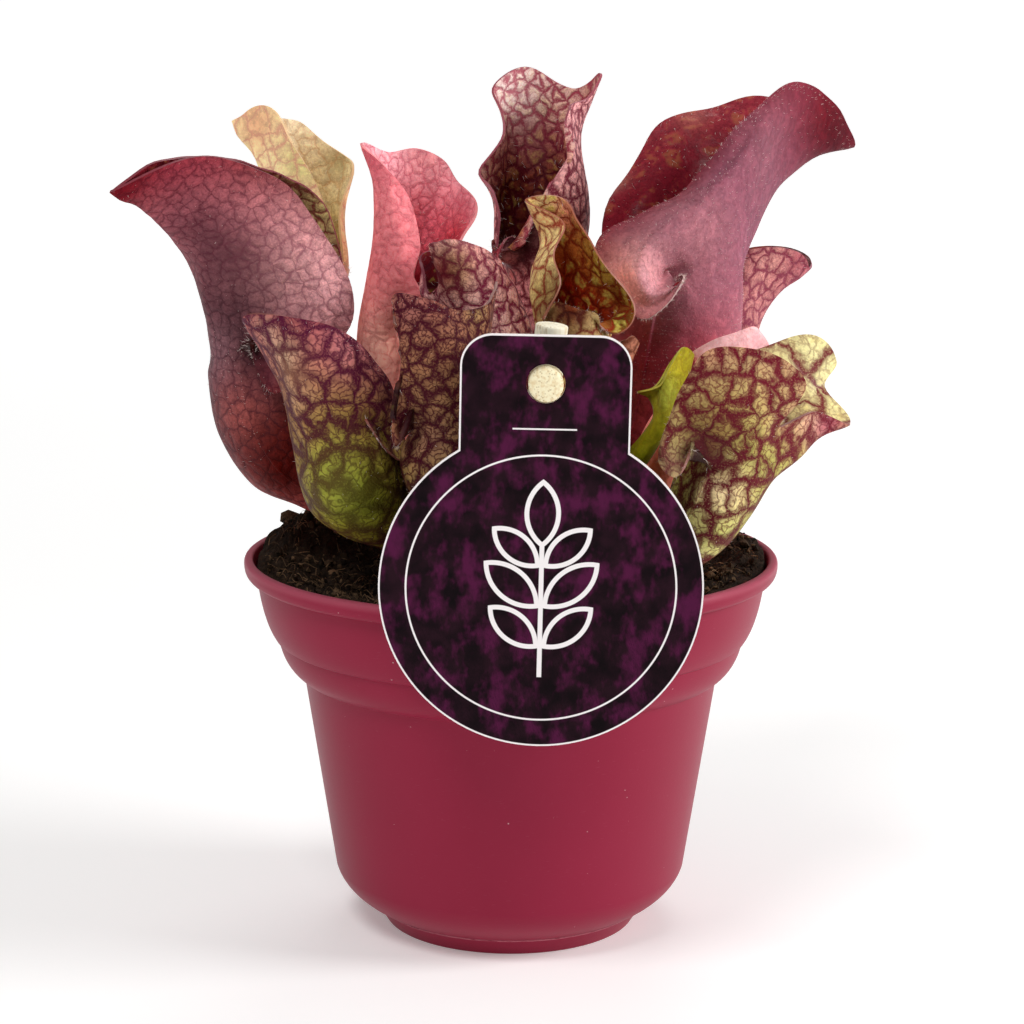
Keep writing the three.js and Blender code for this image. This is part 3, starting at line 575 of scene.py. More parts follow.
def card_finish():
    """Coated card with a mottled dark-plum print inside a white cut edge, and a plain sprig in a ring"""
    finish = Finish("tag_card", 0.5)
    finish.set("Specular IOR Level", 0.05)
    place = finish.place()
    x, _, z = finish.split(place)
    cos = math.cos(TAG_TILT)
    sin = math.sin(TAG_TILT)
    u = (x - DISC_X) * cos - (z - DISC_Z) * sin
    v = (x - DISC_X) * sin + (z - DISC_Z) * cos
    radius = (u * u + v * v) ** 0.5
    beside = abs(u) - (TAB_HALF_WIDTH - TAB_CORNER)
    above = v - (TAB_HEIGHT - TAB_CORNER)
    beside_out = finish.maths("MAXIMUM", beside, 0.0)
    above_out = finish.maths("MAXIMUM", above, 0.0)
    round_corner = (beside_out * beside_out + above_out * above_out) ** 0.5 - TAB_CORNER
    tab = finish.maths("MAXIMUM", round_corner, TAB_START - v)
    outline = finish.maths("MINIMUM", radius - DISC_RADIUS, tab)
    border = finish.rise(outline, *CUT_EDGE)

    cloud = finish.noise(place, 0.26, 5)
    blotch = finish.noise(finish.joined(u, 0.0, v * 0.8), 0.24, 3)
    fleck = finish.noise(finish.joined(u, 0.0, v * 0.6), 1.1, 4)
    bloom = finish.rise(blotch + (fleck - 0.5) * 0.35, 0.44, 0.7)
    fur = finish.noise(finish.joined(u * 3.0 + v * 1.1, 0.0, v * 0.35 - u * 0.2), 1.5, 4)
    streak = (1 - finish.rise(abs(fur - 0.5), 0.0, 0.03)) * (1 - finish.rise(v, *STREAKS))
    paper = finish.mix(finish.rise(cloud, 0.3, 0.7), ink(0x0f070b), ink(0x26111b))
    printed = finish.mix(bloom * 0.8, paper, ink(0x561840))
    printed = finish.mix(streak * 0.45, printed, ink(0x080406))

    def line(distance, half_width):
        """White along a line, from the distance to its middle"""
        return 1 - finish.rise(abs(distance), half_width - 0.05, half_width + 0.05)

    def within(distance, half_length):
        return 1 - finish.rise(abs(distance), half_length, half_length + 0.1)

    def petal(turn, level, length, plump):
        """Outline of a pointed leaf that leans by a turn from a level on the stem"""
        rise = v - level
        across = u * math.cos(turn) - rise * math.sin(turn)
        ahead = u * math.sin(turn) + rise * math.cos(turn) - (LEAF_START + length) / 2
        half = (length - LEAF_START) / 2
        centre = (half * half - plump * plump) / (2 * plump)
        side = abs(across) + centre
        return line((side * side + ahead * ahead) ** 0.5 - (centre + plump), SPRIG_LINE)

    marks = [line(radius - RING_RADIUS, RING_LINE)]
    for side in (-1, 1):
        for level, length in SPRIG_LEAVES:
            marks.append(petal(side * SPRIG_LEAN, level, length, length * SPRIG_PLUMPNESS))
    marks.append(petal(0.0, *SPRIG_TIP))
    marks.append(line(u, SPRIG_LINE) * within(v - STEM_MIDDLE, STEM_HALF))
    marks.append(line(v - RULE_HEIGHT, RULE_LINE) * within(u, RULE_HALF))
    art = marks[0]
    for mark in marks[1:]:
        art = finish.maths("MAXIMUM", art, mark)
    worn = finish.rise(finish.noise(place, 2.4, 3), 0.16, 0.26)
    front = finish.mix(finish.maths("MAXIMUM", art * worn, border), printed, ink(0xf4eeee))

    backward = finish.split(finish.node("ShaderNodeTexCoord", output="Normal"))[1]
    back = finish.mix(border, paper, ink(0xe6dedb))
    colour = finish.mix(finish.rise(backward, 0.4, 0.6), front, back)
    edge = 1 - finish.rise(abs(backward), 0.4, 0.6)
    finish.set("Base Color", finish.mix(edge, colour, ink(0xeee6e0)))
    finish.set("Roughness", 0.45 + cloud * 0.15)
    finish.bump(finish.noise(place, 3.0, 3), 0.03, 0.4)
    return finish


POT_PLASTIC = plastic_finish()
PEAT = peat_finish()
STICK_WOOD = wood_finish("stick_wood", grain_axis=2, base=0xf4edd5, streak=0xd8bd88)
PEG_WOOD = wood_finish("peg_wood", grain_axis=1, base=0xf6ebc6, streak=0xd2ae70)
CARD = card_finish()


# Leaf surface
TRIAL_ROWS = 240  # rows that a leaf's length is measured on
QUILT = 0.12  # height of the swell between the veins
QUILT_LENGTH = 1.4  # its wavelength in cells
FRILL = 0.35  # height of the waves at the rim
FRILL_LENGTH = 7.0
BLADE = 0.42  # thickness of a leaf, unless its look says otherwise
LEAF_SEED = 100
HAIR_WIDTH = 0.035
HAIR_LENGTHS = (0.45, 1.3)
HAIR_DISORDER = 0.35
# For the hairs on the rim, inside and outside: where they start and end along the leaf, their lean
# away from it and up along it, how far their roots are sunk and lowered, and their share of the full length
HAIR_GROUPS = (
    (0.985, 1.0, 0.3, 1.0, 0.3, 0.1, 1.0),
    (0.6, 0.97, -0.7, -0.7, 0.5, 0.0, 1.0),
    (0.5, 1.0, 0.8, 0.4, 0.1, 0.0, 0.5),
)


def oval_ring(row, angles):
    left_x, left_z, right_x, right_z, y, half_depth = row[:6]
    near_lift, far_lift = row[6:] or (0, 0)
    turn = np.radians(angles)
    front = np.sin(turn)
    middle = np.array([(left_x + right_x) / 2, y, (left_z + right_z) / 2])
    half = np.array([(right_x - left_x) / 2, 0, (right_z - left_z) / 2])
    ring = middle + np.cos(turn)[:, None] * half
    ring[:, 1] -= half_depth * front
    ring[:, 2] += np.where(front > 0, near_lift, -far_lift) * front
    return ring


def leaf_surface(leaf, columns, rows):
    """Rows of points from the stalk's foot to the rim, evenly spaced along the leaf, with its keel"""
    first = leaf["tube"][0]
    foot = [first[0], STALK_FOOT, first[2], STALK_FOOT, first[4], (first[2] - first[0]) / 2]
    rings = [oval_ring(row, leaf["angles"]) for row in [foot] + leaf["tube"]]
    rings += [np.array(ring, float) for ring in leaf["hood"]]
    around = (leaf["wing"] / len(leaf["angles"]) + np.arange(columns) / columns) % 1
    curves = np.array([spline(ring, around, closed=True) for ring in rings])
    trial = np.linspace(0, 1, TRIAL_ROWS)
    steps = np.linalg.norm(np.diff(spline(curves, trial), axis=0), axis=-1).mean(1)
    run = np.concatenate([[0], np.cumsum(steps)])
    along = np.interp(np.linspace(0, 1, rows + 1), run / run[-1], trial)
    surface = spline(curves, along)
    tube_share = len(leaf["tube"]) / (len(rings) - 1)
    keel = WING_HEIGHT * np.sin(math.pi * np.minimum(1, along / tube_share)) ** 2
    turn = np.minimum(np.arange(columns), columns - np.arange(columns)) / columns
    height = keel[:, None] * np.exp(-((turn / WING_WIDTH) ** 2))[None, :]
    outward = unit(surface - surface.mean(1, keepdims=True))
    return surface + outward * height[..., None]


def facing(surface):
    """The outward direction at each point of a leaf's surface"""
    around = np.roll(surface, -1, 1) - np.roll(surface, 1, 1)
    along = np.gradient(surface, axis=0)
    return unit(np.cross(along, around))


def rows_of_colour(stops, shares):
    """Colours along the leaf, blended between the given stops"""
    places = [stop[0] for stop in stops]
    colours = np.array([ink(stop[1])[:3] for stop in stops])
    return np.stack([np.interp(shares, places, colours[:, k]) for k in range(3)], -1)


def near(surface, place, radius):
    """1 at a place, falling away to 0 at about twice the radius"""
    reach = np.linalg.norm(surface - np.array(place), axis=-1)
    return np.exp(-((reach / radius) ** 2))


def make_down(name, roots, directions, lengths, rng):
    """Fine hairs, each a closed spike of four faces"""
    across = unit(np.cross(directions, rng.normal(size=directions.shape)))
    corners = three_corners(roots, HAIR_WIDTH, across, np.cross(directions, across))
    tips = roots + directions * lengths[:, None]
    points = np.stack(corners + [tips], 1).reshape(-1, 3)
    first = 4 * np.arange(len(roots))[:, None]
    faces = np.concatenate([first + face for face in ((0, 2, 1), (0, 1, 3), (1, 2, 3), (2, 0, 3))])
    return mesh_piece(name, points, faces)


def leaf_down(name, surface, outward, look, rng):
    """Hairs on the rim, on the inside below it and on the outside, sunk a little into the leaf"""
    rows, columns = surface.shape[:2]
    upward = unit(np.gradient(surface, axis=0))
    hairs = []
    for count, (low, high, lean_out, lean_up, sunk, lowered, share) in zip(look["down"], HAIR_GROUPS):
        row = (rng.uniform(low, high, count) * (rows - 1)).astype(int)
        column = rng.integers(0, columns, count)
        away = outward[row, column]
        up = upward[row, column]
        loose = rng.normal(scale=HAIR_DISORDER, size=(count, 3))
        lean = unit(lean_out * away + lean_up * up + loose)
        root = surface[row, column] - sunk * away - lowered * up
        length = share * rng.uniform(*HAIR_LENGTHS, count) * look.get("hair", 1.0)
        hairs.append((root, lean, length))
    roots, leans, lengths = (np.concatenate(parts) for parts in zip(*hairs))
    return make_down(name, roots, leans, lengths, rng)


def make_leaf(name, seed):
    look = LOOKS[name]
    rng = np.random.default_rng(seed)
    columns, rows = look["mesh"]
    surface = leaf_surface(LEAVES[name], columns, rows)
    for x, y, z, radius, *move in look.get("nudges", []):
        surface = surface + near(surface, (x, y, z), radius)[..., None] * np.array(move)
    outward = facing(surface)
    shares = np.linspace(0, 1, rows + 1)
    hood = np.clip((shares - 0.55) / 0.4, 0, 1)[:, None]
    edge = (np.clip((shares - 0.8) / 0.2, 0, 1) ** 2)[:, None]
    swell = ripple(surface, rng, look["cell"] * QUILT_LENGTH, count=9)
    quilt = QUILT * swell * (0.3 + 0.7 * hood) * (1 - edge)
    frill = FRILL * ripple(surface, rng, FRILL_LENGTH, count=5) * edge
    surface = surface + outward * (quilt + frill)[..., None]

    layers = {key: np.repeat(rows_of_colour(look[key], shares)[:, None], columns, 1)
              for key in ("skin", "veins", "throat", "throat_veins")}
    for place, radius, tints in look.get("touches", []):
        reach = near(surface, place, radius)[..., None]
        for key, (code, amount) in tints.items():
            weight = amount * reach
            layers[key] = layers[key] * (1 - weight) + weight * np.array(ink(code)[:3])
    strengths = (look["bold"], look["fine"], look["throat_bold"], look["spots"])
    grid = surface.shape[:2]
    painted = {key: np.concatenate([value, np.full(grid + (1,), strength)], -1)
               for (key, value), strength in zip(layers.items(), strengths)}
    painted["margin"] = np.broadcast_to(np.array(ink(look["margin"])), grid + (4,))

    piece = wrapped_sheet(name + "_skin", surface, painted, look["cell"])
    dress(piece, SKIN, THROAT, MARGIN)
    apply_modifier(piece, "SOLIDIFY", thickness=look.get("blade", BLADE) * MM, offset=-1,
                   material_offset=1, material_offset_rim=2)
    down = leaf_down(name + "_down", surface, outward, look, rng)
    dress(down, DOWN)
    fuse(piece, down)
    smooth(piece, degrees=60)
    hand_over(piece, name)


def touch(x, y, z, radius, **tints):
    """A local tint of a leaf: around this place, each layer is mixed with a colour by an amount"""
    return (x, y, z), radius, tints


# Leaves
# A tube row is [left x, left z, right x, right z, y, half depth, near lift, far lift]: an oval ring.
# The leaf's angles place the ring's points, from its right side by the front to its left.
# A hood row lists the same points as [x, y, z]. The last one is the rim of the leaf.
# The wing is the number of the point under the narrow keel along the tube.
LEAVES = {
    "leaf_left_large": dict(
        wing=0,
        angles=[0, 60, 98, 104, 110, 118, 128, 142, 160, 180, 205, 232, 262, 310],
        tube=[
            [-14.5, 62.5, -12.5, 62.5, -2, 2], [-19, 65, -18, 68.5, -2, 3.5], [-28, 68.5, -26, 75, -1, 6],
            [-36, 72, -30.5, 81, 0, 9], [-43.5, 75.5, -32, 88.5, 0, 11], [-49, 84, -32.5, 93.5, 0, 12],
            [-50.5, 93.5, -34, 98, -1, 10.5], [-50, 99, -34.5, 101, -2, 8.5, 0, 2],
        ],
        hood=[
            [
                [-32, -4, 102], [-37.5, -9, 101.5], [-42, -13, 101], [-39.5, -14, 98], [-34, -14, 103.5],
                [-34, -14, 111.5], [-38.5, -15, 115.5], [-43.5, -16, 116.5], [-49, -15, 116],
                [-52, -9, 114.5], [-51.5, -2, 115.5], [-45.5, 4, 117], [-37.5, 6, 115], [-31.5, 3, 106],
            ],
            [
                [-31.5, -4, 103.5], [-37, -9.5, 102], [-42, -13, 100.5], [-38, -14.5, 93],
                [-27, -11, 103.5], [-28.5, -12, 116], [-33, -15, 125], [-39.5, -18, 129],
                [-49.5, -24, 131.5], [-61.5, -33, 126.5], [-54.5, -25, 131], [-45.5, -11, 130.5],
                [-35, 0, 125], [-28, 2, 111.5],
            ],
        ],
    ),
    "leaf_front_left": dict(
        wing=0,
        angles=[0, 40, 52, 65, 82, 105, 130, 172, 205, 240, 285, 325],
        tube=[
            [-11.5, 61.5, -9.5, 61.5, -9, 2], [-14.5, 63, -12, 67, -13, 4], [-20.5, 68, -15, 73.5, -18, 7],
            [-26.5, 71, -16, 79, -22, 9], [-31.5, 75, -17, 83, -24, 10.5],
            [-33.5, 80, -18, 86.5, -25, 10.5], [-34.5, 85.5, -18.5, 89, -25, 9.5, 2, 0],
        ],
        hood=[
            [
                [-18.5, -20, 89], [-21.5, -33, 91], [-19.5, -30, 88], [-19.5, -31, 93], [-22.5, -34, 97.5],
                [-28, -37, 100], [-33.5, -36, 98.5], [-36.5, -29, 97.5], [-36, -22, 93.5], [-32, -16, 90],
                [-26, -14, 89], [-21, -16, 89],
            ],
            [
                [-19, -19, 90], [-22.5, -33.5, 92], [-17, -29, 84.5], [-17.5, -28, 93.5], [-21, -30, 100],
                [-25.5, -34, 105.5], [-33.5, -36, 108], [-41.5, -31, 107.5], [-39.5, -23, 101],
                [-34, -16, 92], [-26.5, -13, 90], [-21.5, -15, 89.5],
            ],
        ],
    ),
    "leaf_front_middle": dict(
        wing=0,
        angles=[0, 30, 60, 90, 115, 130, 142, 152, 162, 180, 215, 250, 290, 325],
        tube=[
            [-4.5, 61.5, -3, 61.5, -13, 2], [-7.5, 65.5, -4, 67.5, -18, 4],
            [-11.5, 69.5, -4.5, 72.5, -23, 6.5], [-14, 75.5, -4.5, 77, -27, 8.5],
            [-15, 81.5, -4, 81.5, -28, 9.5], [-15, 86, -3.5, 86, -28, 9], [-14, 90, -3.5, 89.5, -28, 8],
        ],
        hood=[
            [
                [-3.5, -25, 102.5], [-4.5, -31, 101], [-8, -36.5, 101.5], [-11.5, -38, 102],
                [-15, -37, 101.5], [-16.5, -36, 98.5], [-17.5, -36, 93], [-16, -35.5, 89.5],
                [-15, -35, 93], [-13.5, -25, 90.5], [-9.5, -20, 89.5], [-5.5, -20, 92], [-4, -21, 97],
                [-3.5, -23, 100],
            ],
            [
                [-2.5, -21, 112], [-3.5, -28, 109.5], [-8, -34, 109], [-13, -36, 111], [-18.5, -34, 111],
                [-17, -35.5, 103], [-18, -36, 92], [-16.5, -35.5, 88], [-15, -35, 93.5], [-14.5, -25, 91],
                [-10, -19, 91], [-5, -18, 96], [-3.5, -19, 104], [-3, -20, 108.5],
            ],
        ],
    ),
    "leaf_inner_dark": dict(
        wing=0,
        angles=[0, 30, 60, 90, 120, 150, 180, 210, 240, 270, 300, 330],
        tube=[
            [-6, 63, -4, 63, -3, 2], [-6, 66.5, -3, 67, -4, 4], [-7, 73.5, -0.5, 73.5, -5, 7],
            [-8, 81.5, 0.5, 81.5, -5, 8.5], [-8, 89, 1.5, 89, -5, 8.5], [-8, 96.5, 2.5, 96.5, -5, 8.5],
            [-8.5, 102, 3.5, 101.5, -5, 7.5],
        ],
        hood=[
            [
                [1, -5, 108.5], [-1, -10, 110], [-4.5, -13, 111.5], [-7.5, -14, 111.5], [-10, -13, 110.5],
                [-11, -11, 108.5], [-12.5, -8, 107.5], [-14.5, -5, 107], [-15, -2, 107], [-12, 1, 106.5],
                [-6, 2, 106.5], [-1, 0, 107.5],
            ],
            [
                [-2, -6, 113.5], [-4, -10, 116], [-7, -13, 117.5], [-10, -14, 118], [-12, -13.5, 117.5],
                [-13.5, -12, 116.5], [-11.5, -10, 111.5], [-14, -7, 108.5], [-17, -5, 113], [-16, -3, 115],
                [-11, 1, 114.5], [-5.5, 0, 113.5],
            ],
        ],
    ),
    "leaf_pink": dict(
        wing=0,
        angles=[0, 30, 60, 90, 120, 150, 180, 210, 240, 270, 300, 330],
        tube=[
            [-10, 64, -8, 64, 6, 2], [-12.5, 67.5, -9, 68.5, 8, 4], [-18.5, 73, -11.5, 75, 11, 7],
            [-23, 80.5, -13.5, 82, 13, 9], [-26, 88.5, -16, 89.5, 14, 10], [-26.5, 95.5, -17, 96, 14, 9.5],
            [-26.5, 100.5, -17.5, 100.5, 14, 9],
        ],
        hood=[
            [
                [-11.5, 8, 110], [-14, 4, 106], [-17.5, 3, 107], [-19, 2, 111.5], [-20.5, 3, 114.5],
                [-23, 5, 117], [-24, 9, 115.5], [-23, 16, 115], [-19.5, 21, 115.5], [-15, 22, 115],
                [-11.5, 18, 115], [-10, 13, 113.5],
            ],
            [
                [-8.5, 9, 115.5], [-12.5, 3, 106.5], [-16.5, 2, 110], [-15.5, 3, 115.5], [-18, 5, 122.5],
                [-23, 5, 128.5], [-26, 7, 131.5], [-21.5, 14, 130], [-16.5, 19, 130.5], [-12, 21, 128.5],
                [-9.5, 20, 125], [-6, 14, 121.5],
            ],
        ],
    ),
    "leaf_back_left": dict(
        wing=11,
        angles=[0, 40, 70, 95, 120, 150, 180, 210, 245, 275, 305, 335],
        tube=[
            [-16, 64.5, -14, 64.5, 9, 2], [-21.5, 67.5, -18.5, 69.5, 13, 3.5],
            [-29, 74.5, -23.5, 77, 18, 6], [-36.5, 82.5, -29, 85.5, 22, 8], [-40, 91, -30.5, 93, 25, 9],
            [-42.5, 99, -30.5, 100.5, 26, 9], [-43, 106, -30, 106.5, 27, 8.5],
        ],
        hood=[
            [
                [-28.5, 21, 109.5], [-30, 16, 112], [-33, 14, 115], [-36.5, 15, 117.5], [-40, 17, 120],
                [-42, 20, 121.5], [-43.5, 24, 121], [-42.5, 30, 120.5], [-38.5, 34, 119.5],
                [-34, 34, 117.5], [-31, 31, 117], [-29, 26, 113],
            ],
            [
                [-29, 20, 108], [-31, 15, 117.5], [-34, 15, 125.5], [-38.5, 17, 132], [-43, 20, 137],
                [-47, 23, 136.5], [-48.5, 26, 135], [-40, 31, 135], [-35.5, 32, 134], [-29.5, 31, 129],
                [-28, 28, 126], [-30, 25, 118.5],
            ],
        ],
    ),
    "leaf_back_tall": dict(
        wing=3,
        angles=[0, 20, 40, 65, 92, 120, 142, 158, 185, 215, 245, 275, 305, 335, 348],
        tube=[
            [0, 65.5, 2, 65.5, 10, 2], [0, 69.5, 3.5, 69.5, 12, 4], [-0.5, 77, 5, 77, 15, 6.5],
            [-1, 85.5, 6.5, 85.5, 18, 8.5], [-1.5, 95.5, 8.5, 95.5, 20, 9.5],
            [-1.5, 103.5, 10, 103.5, 21, 9.5], [-1.5, 110, 12, 109, 21, 9],
        ],
        hood=[
            [
                [13, 20, 118], [11, 15, 119], [8, 12, 118], [4.5, 11, 116], [1.5, 11, 114],
                [-1, 12, 113.5], [-3, 12, 112.5], [-3, 15, 115], [-3, 21, 117.5], [-2, 28, 120],
                [0.5, 31, 121.5], [5, 32, 122], [9.5, 30, 121.5], [12, 26, 120.5], [13, 24, 119.5],
            ],
            [
                [11.5, 20, 130], [10.5, 15, 130.5], [9.5, 12, 128], [8, 11, 125], [3.5, 11, 120],
                [1, 10.5, 114.5], [-1.5, 11.5, 114.5], [-3, 13, 113.5], [-3, 17, 119.5], [-3.5, 24, 123],
                [-1.5, 29, 128], [0.5, 32, 131], [5.5, 32, 132], [9.5, 29, 130.5], [11.5, 25, 131],
            ],
            [
                [13.5, 20, 139], [11, 16, 138], [9, 13, 135.5], [10, 12, 131.5], [5, 11, 123],
                [2.5, 10, 115.5], [-0.5, 11, 116], [-3, 12, 111.5], [-2.5, 15, 120.5], [-5, 20, 127],
                [-2, 26, 134], [-3.5, 28, 140.5], [2, 31, 143.5], [10.5, 29, 139.5], [15.5, 25, 143],
            ],
        ],
    ),
    "leaf_inner_small": dict(
        wing=5,
        angles=[0, 30, 55, 75, 95, 115, 135, 155, 180, 205, 240, 280, 320],
        tube=[
            [3, 63.5, 4.5, 63.5, -6, 2], [3, 68.5, 5.5, 68.5, -8, 3.5], [3.5, 76, 8, 76, -11, 5.5],
            [3.5, 83.5, 10.5, 83.5, -13, 7], [3.5, 91, 13, 91, -13, 8], [4, 97.5, 15, 97.5, -13, 8],
            [4, 102, 16, 102, -13, 7.5],
        ],
        hood=[
            [
                [17, -10, 106], [16, -14, 105], [14, -17, 105], [12, -19, 105.5], [9.5, -20, 105.5],
                [6.5, -19, 106], [4.5, -17, 106.5], [3.5, -14, 108.5], [3, -11, 111], [3.5, -7, 113.5],
                [6, -4, 114], [10.5, -7.5, 113], [15, -11, 110],
            ],
            [
                [20, -14, 107.5], [17.5, -17, 103.5], [14.5, -18, 104], [13.5, -18, 106.5],
                [10.5, -19, 107.5], [7, -19, 108.5], [5, -20, 106], [7.5, -19, 111.5], [6.5, -16, 116],
                [8, -13, 120.5], [2, -10, 124], [8.5, -10, 124], [14, -14, 115.5],
            ],
        ],
    ),
    "leaf_right_large": dict(
        wing=9,
        angles=[0, 20, 42, 65, 84, 94, 102, 110, 118, 180, 225, 262, 295, 328],
        tube=[
            [11.5, 65, 13.5, 65.5, 5, 2], [13, 70, 17.5, 68, 6, 4], [15, 77.5, 23.5, 75, 7, 7],
            [15, 85, 30.5, 82.5, 8, 10], [15, 93, 36, 91.5, 8, 11.5], [15.5, 100, 38.5, 99, 8, 12],
            [17, 106, 39, 106, 8, 11.5], [19, 110, 39, 111.5, 8, 10, 2, 2],
        ],
        hood=[
            [
                [41, 13, 116], [40, 6, 122], [36.5, 0, 125], [32.5, -3, 124.5], [27.5, -6, 120],
                [22.5, -8, 116], [21, -9, 112], [23, -9, 109], [27, -6, 110.5], [21.5, 7, 108.5],
                [19.5, 16, 115], [24.5, 21, 122.5], [31.5, 24, 124], [37.5, 21, 122.5],
            ],
            [
                [47, 22, 125], [45.5, 15, 132.5], [42, 8, 134.5], [37.5, 4, 132], [31, -1, 127.5],
                [21.5, -5, 119.5], [17, -5, 113], [21.5, -7.5, 106.5], [27.5, -6.5, 111], [21.5, 8, 108],
                [16, 19, 116], [23, 26, 128], [31.5, 29, 132.5], [39.5, 28, 132.5],
            ],
            [
                [60, 34, 130], [55.5, 26, 138.5], [47.5, 17, 142], [39, 8, 136.5], [29.5, 1, 128.5],
                [14.5, -2, 117.5], [15.5, -4, 109.5], [22, -8, 104.5], [28, -7, 111.5], [21, 9, 107.5],
                [16, 21, 117], [23, 30, 132], [33, 33, 137], [45, 34, 139],
            ],
        ],
    ),
    "leaf_back_right": dict(
        wing=6,
        angles=[0, 30, 60, 90, 120, 150, 180, 210, 240, 270, 300, 330],
        tube=[
            [8.5, 67, 10.5, 67, 11, 2], [12.5, 69.5, 15.5, 68, 18, 3.5], [23, 77, 27.5, 73.5, 26, 5.5],
            [30, 85.5, 39, 81, 30, 7], [33.5, 92.5, 43, 89.5, 32, 7], [35, 97.5, 44, 97, 33, 7],
        ],
        hood=[
            [
                [47, 33, 103.5], [44, 28, 106], [41, 25, 106], [38.5, 24, 105.5], [36.5, 24, 104],
                [34.5, 25, 102], [34, 28, 100.5], [35.5, 34, 101.5], [38.5, 40, 103], [41.5, 42.5, 104],
                [44.5, 42.5, 104.5], [46.5, 39, 104.5],
            ],
            [
                [53.5, 36, 108.5], [51.5, 31, 111.5], [46.5, 27, 113], [40.5, 25, 112.5],
                [36.5, 24, 110.5], [34, 24, 106.5], [33, 26, 102.5], [34.5, 35, 105], [38.5, 42, 109],
                [43.5, 46, 111], [50, 47, 111], [54, 43, 109.5],
            ],
        ],
    ),
    "leaf_right_pink": dict(
        wing=6,
        angles=[0, 30, 60, 90, 120, 150, 180, 210, 240, 270, 300, 330],
        tube=[
            [12, 64.5, 14.5, 65, -4, 2], [14.5, 69, 18.5, 67.5, -6, 4], [19.5, 76.5, 26, 73.5, -9, 5],
            [21.5, 84, 30.5, 80, -9.5, 5], [24.5, 90, 35.5, 86.5, -9.5, 5],
            [28.5, 94.5, 38, 93, -9.5, 4.5], [30, 97.5, 40.5, 97.5, -9.5, 4.5],
        ],
        hood=[
            [
                [42, -10, 100.5], [40.5, -12, 103], [39, -13, 104], [36, -13, 103], [33, -13, 102],
                [30.5, -12, 100.5], [29, -10, 99], [30.5, -7, 99.5], [33.5, -5, 100], [37, -5, 100.5],
                [39.5, -6, 101], [41.5, -7, 100],
            ],
        ],
    ),
    "leaf_front_right": dict(
        wing=10,
        angles=[0, 14, 28, 42, 60, 80, 97, 107, 115, 122, 180, 215, 250, 285, 315, 340],
        tube=[
            [10.5, 60, 12.5, 60, -12, 2], [13, 63.5, 15.5, 61.5, -15, 4], [17.5, 69.5, 22, 63, -20, 6.5],
            [22, 74.5, 28, 66, -24, 8.5], [25, 78, 33.5, 70, -26, 9], [26, 81.5, 38, 76, -27, 9],
            [27, 85, 41, 82.5, -27, 8.5],
        ],
        hood=[
            [
                [47, -24, 87], [43.5, -29, 88], [40.5, -33, 90], [39, -36, 93], [35.5, -38, 96.5],
                [30.5, -38.5, 96.5], [26, -38, 93.5], [24, -38, 88], [26.5, -37.5, 85], [28, -36, 88],
                [28.5, -24, 86.5], [30, -20, 90], [36, -18.5, 93.5], [40.5, -18, 94.5], [44, -18, 92],
                [46, -20, 90],
            ],
            [
                [54.5, -18, 89], [47.5, -27, 92.5], [41.5, -33, 91], [45.5, -34, 98], [38.5, -36, 104],
                [30, -36, 104], [25, -37, 95.5], [22.5, -38, 86], [25.5, -38.5, 82], [28, -36.5, 88.5],
                [27.5, -23, 87.5], [30.5, -17, 96.5], [40, -15, 100.5], [49, -12, 101.5], [53, -12, 98],
                [51.5, -14, 94],
            ],
        ],
    ),
    "leaf_young": dict(
        wing=4,
        angles=[0, 45, 90, 135, 180, 225, 270, 315],
        tube=[
            [3.5, 62.5, 5, 62.5, -14, 1.5], [8, 68, 9.5, 67, -13.5, 2], [14, 76.5, 16, 75, -16, 2.5],
            [19, 84.5, 21.5, 82, -19, 3], [22.5, 90, 25, 88, -20, 3],
        ],
        hood=[
            [
                [27.5, -19, 93], [26, -22, 93], [24, -23, 93.5], [23, -21, 93.5], [22, -19, 93],
                [23.5, -16.5, 93.5], [25, -16, 94], [27, -17, 93.5],
            ],
            [
                [29, -17, 100], [27.5, -20, 101.5], [25, -22.5, 98.5], [23.5, -22.5, 95.5], [20, -20, 94],
                [23, -17, 95], [25.5, -15.5, 98.5], [27.5, -16, 101],
            ],
        ],
    ),
    "leaf_withered": dict(
        wing=3,
        angles=[0, 60, 120, 180, 240, 300],
        tube=[
            [7.5, 61.5, 8.5, 61.5, -20, 1.5], [10, 70.5, 11, 70, -22, 1.5], [12.5, 82, 14, 82, -23, 2],
            [15, 92.5, 17, 92.5, -23, 2], [16.5, 99, 19, 99, -23, 2],
        ],
        hood=[
            [
                [20, -23, 102.5], [19, -25, 104], [17.5, -25, 103], [16, -23, 102], [17, -21, 102.5],
                [19, -21, 103],
            ],
        ],
    ),
}


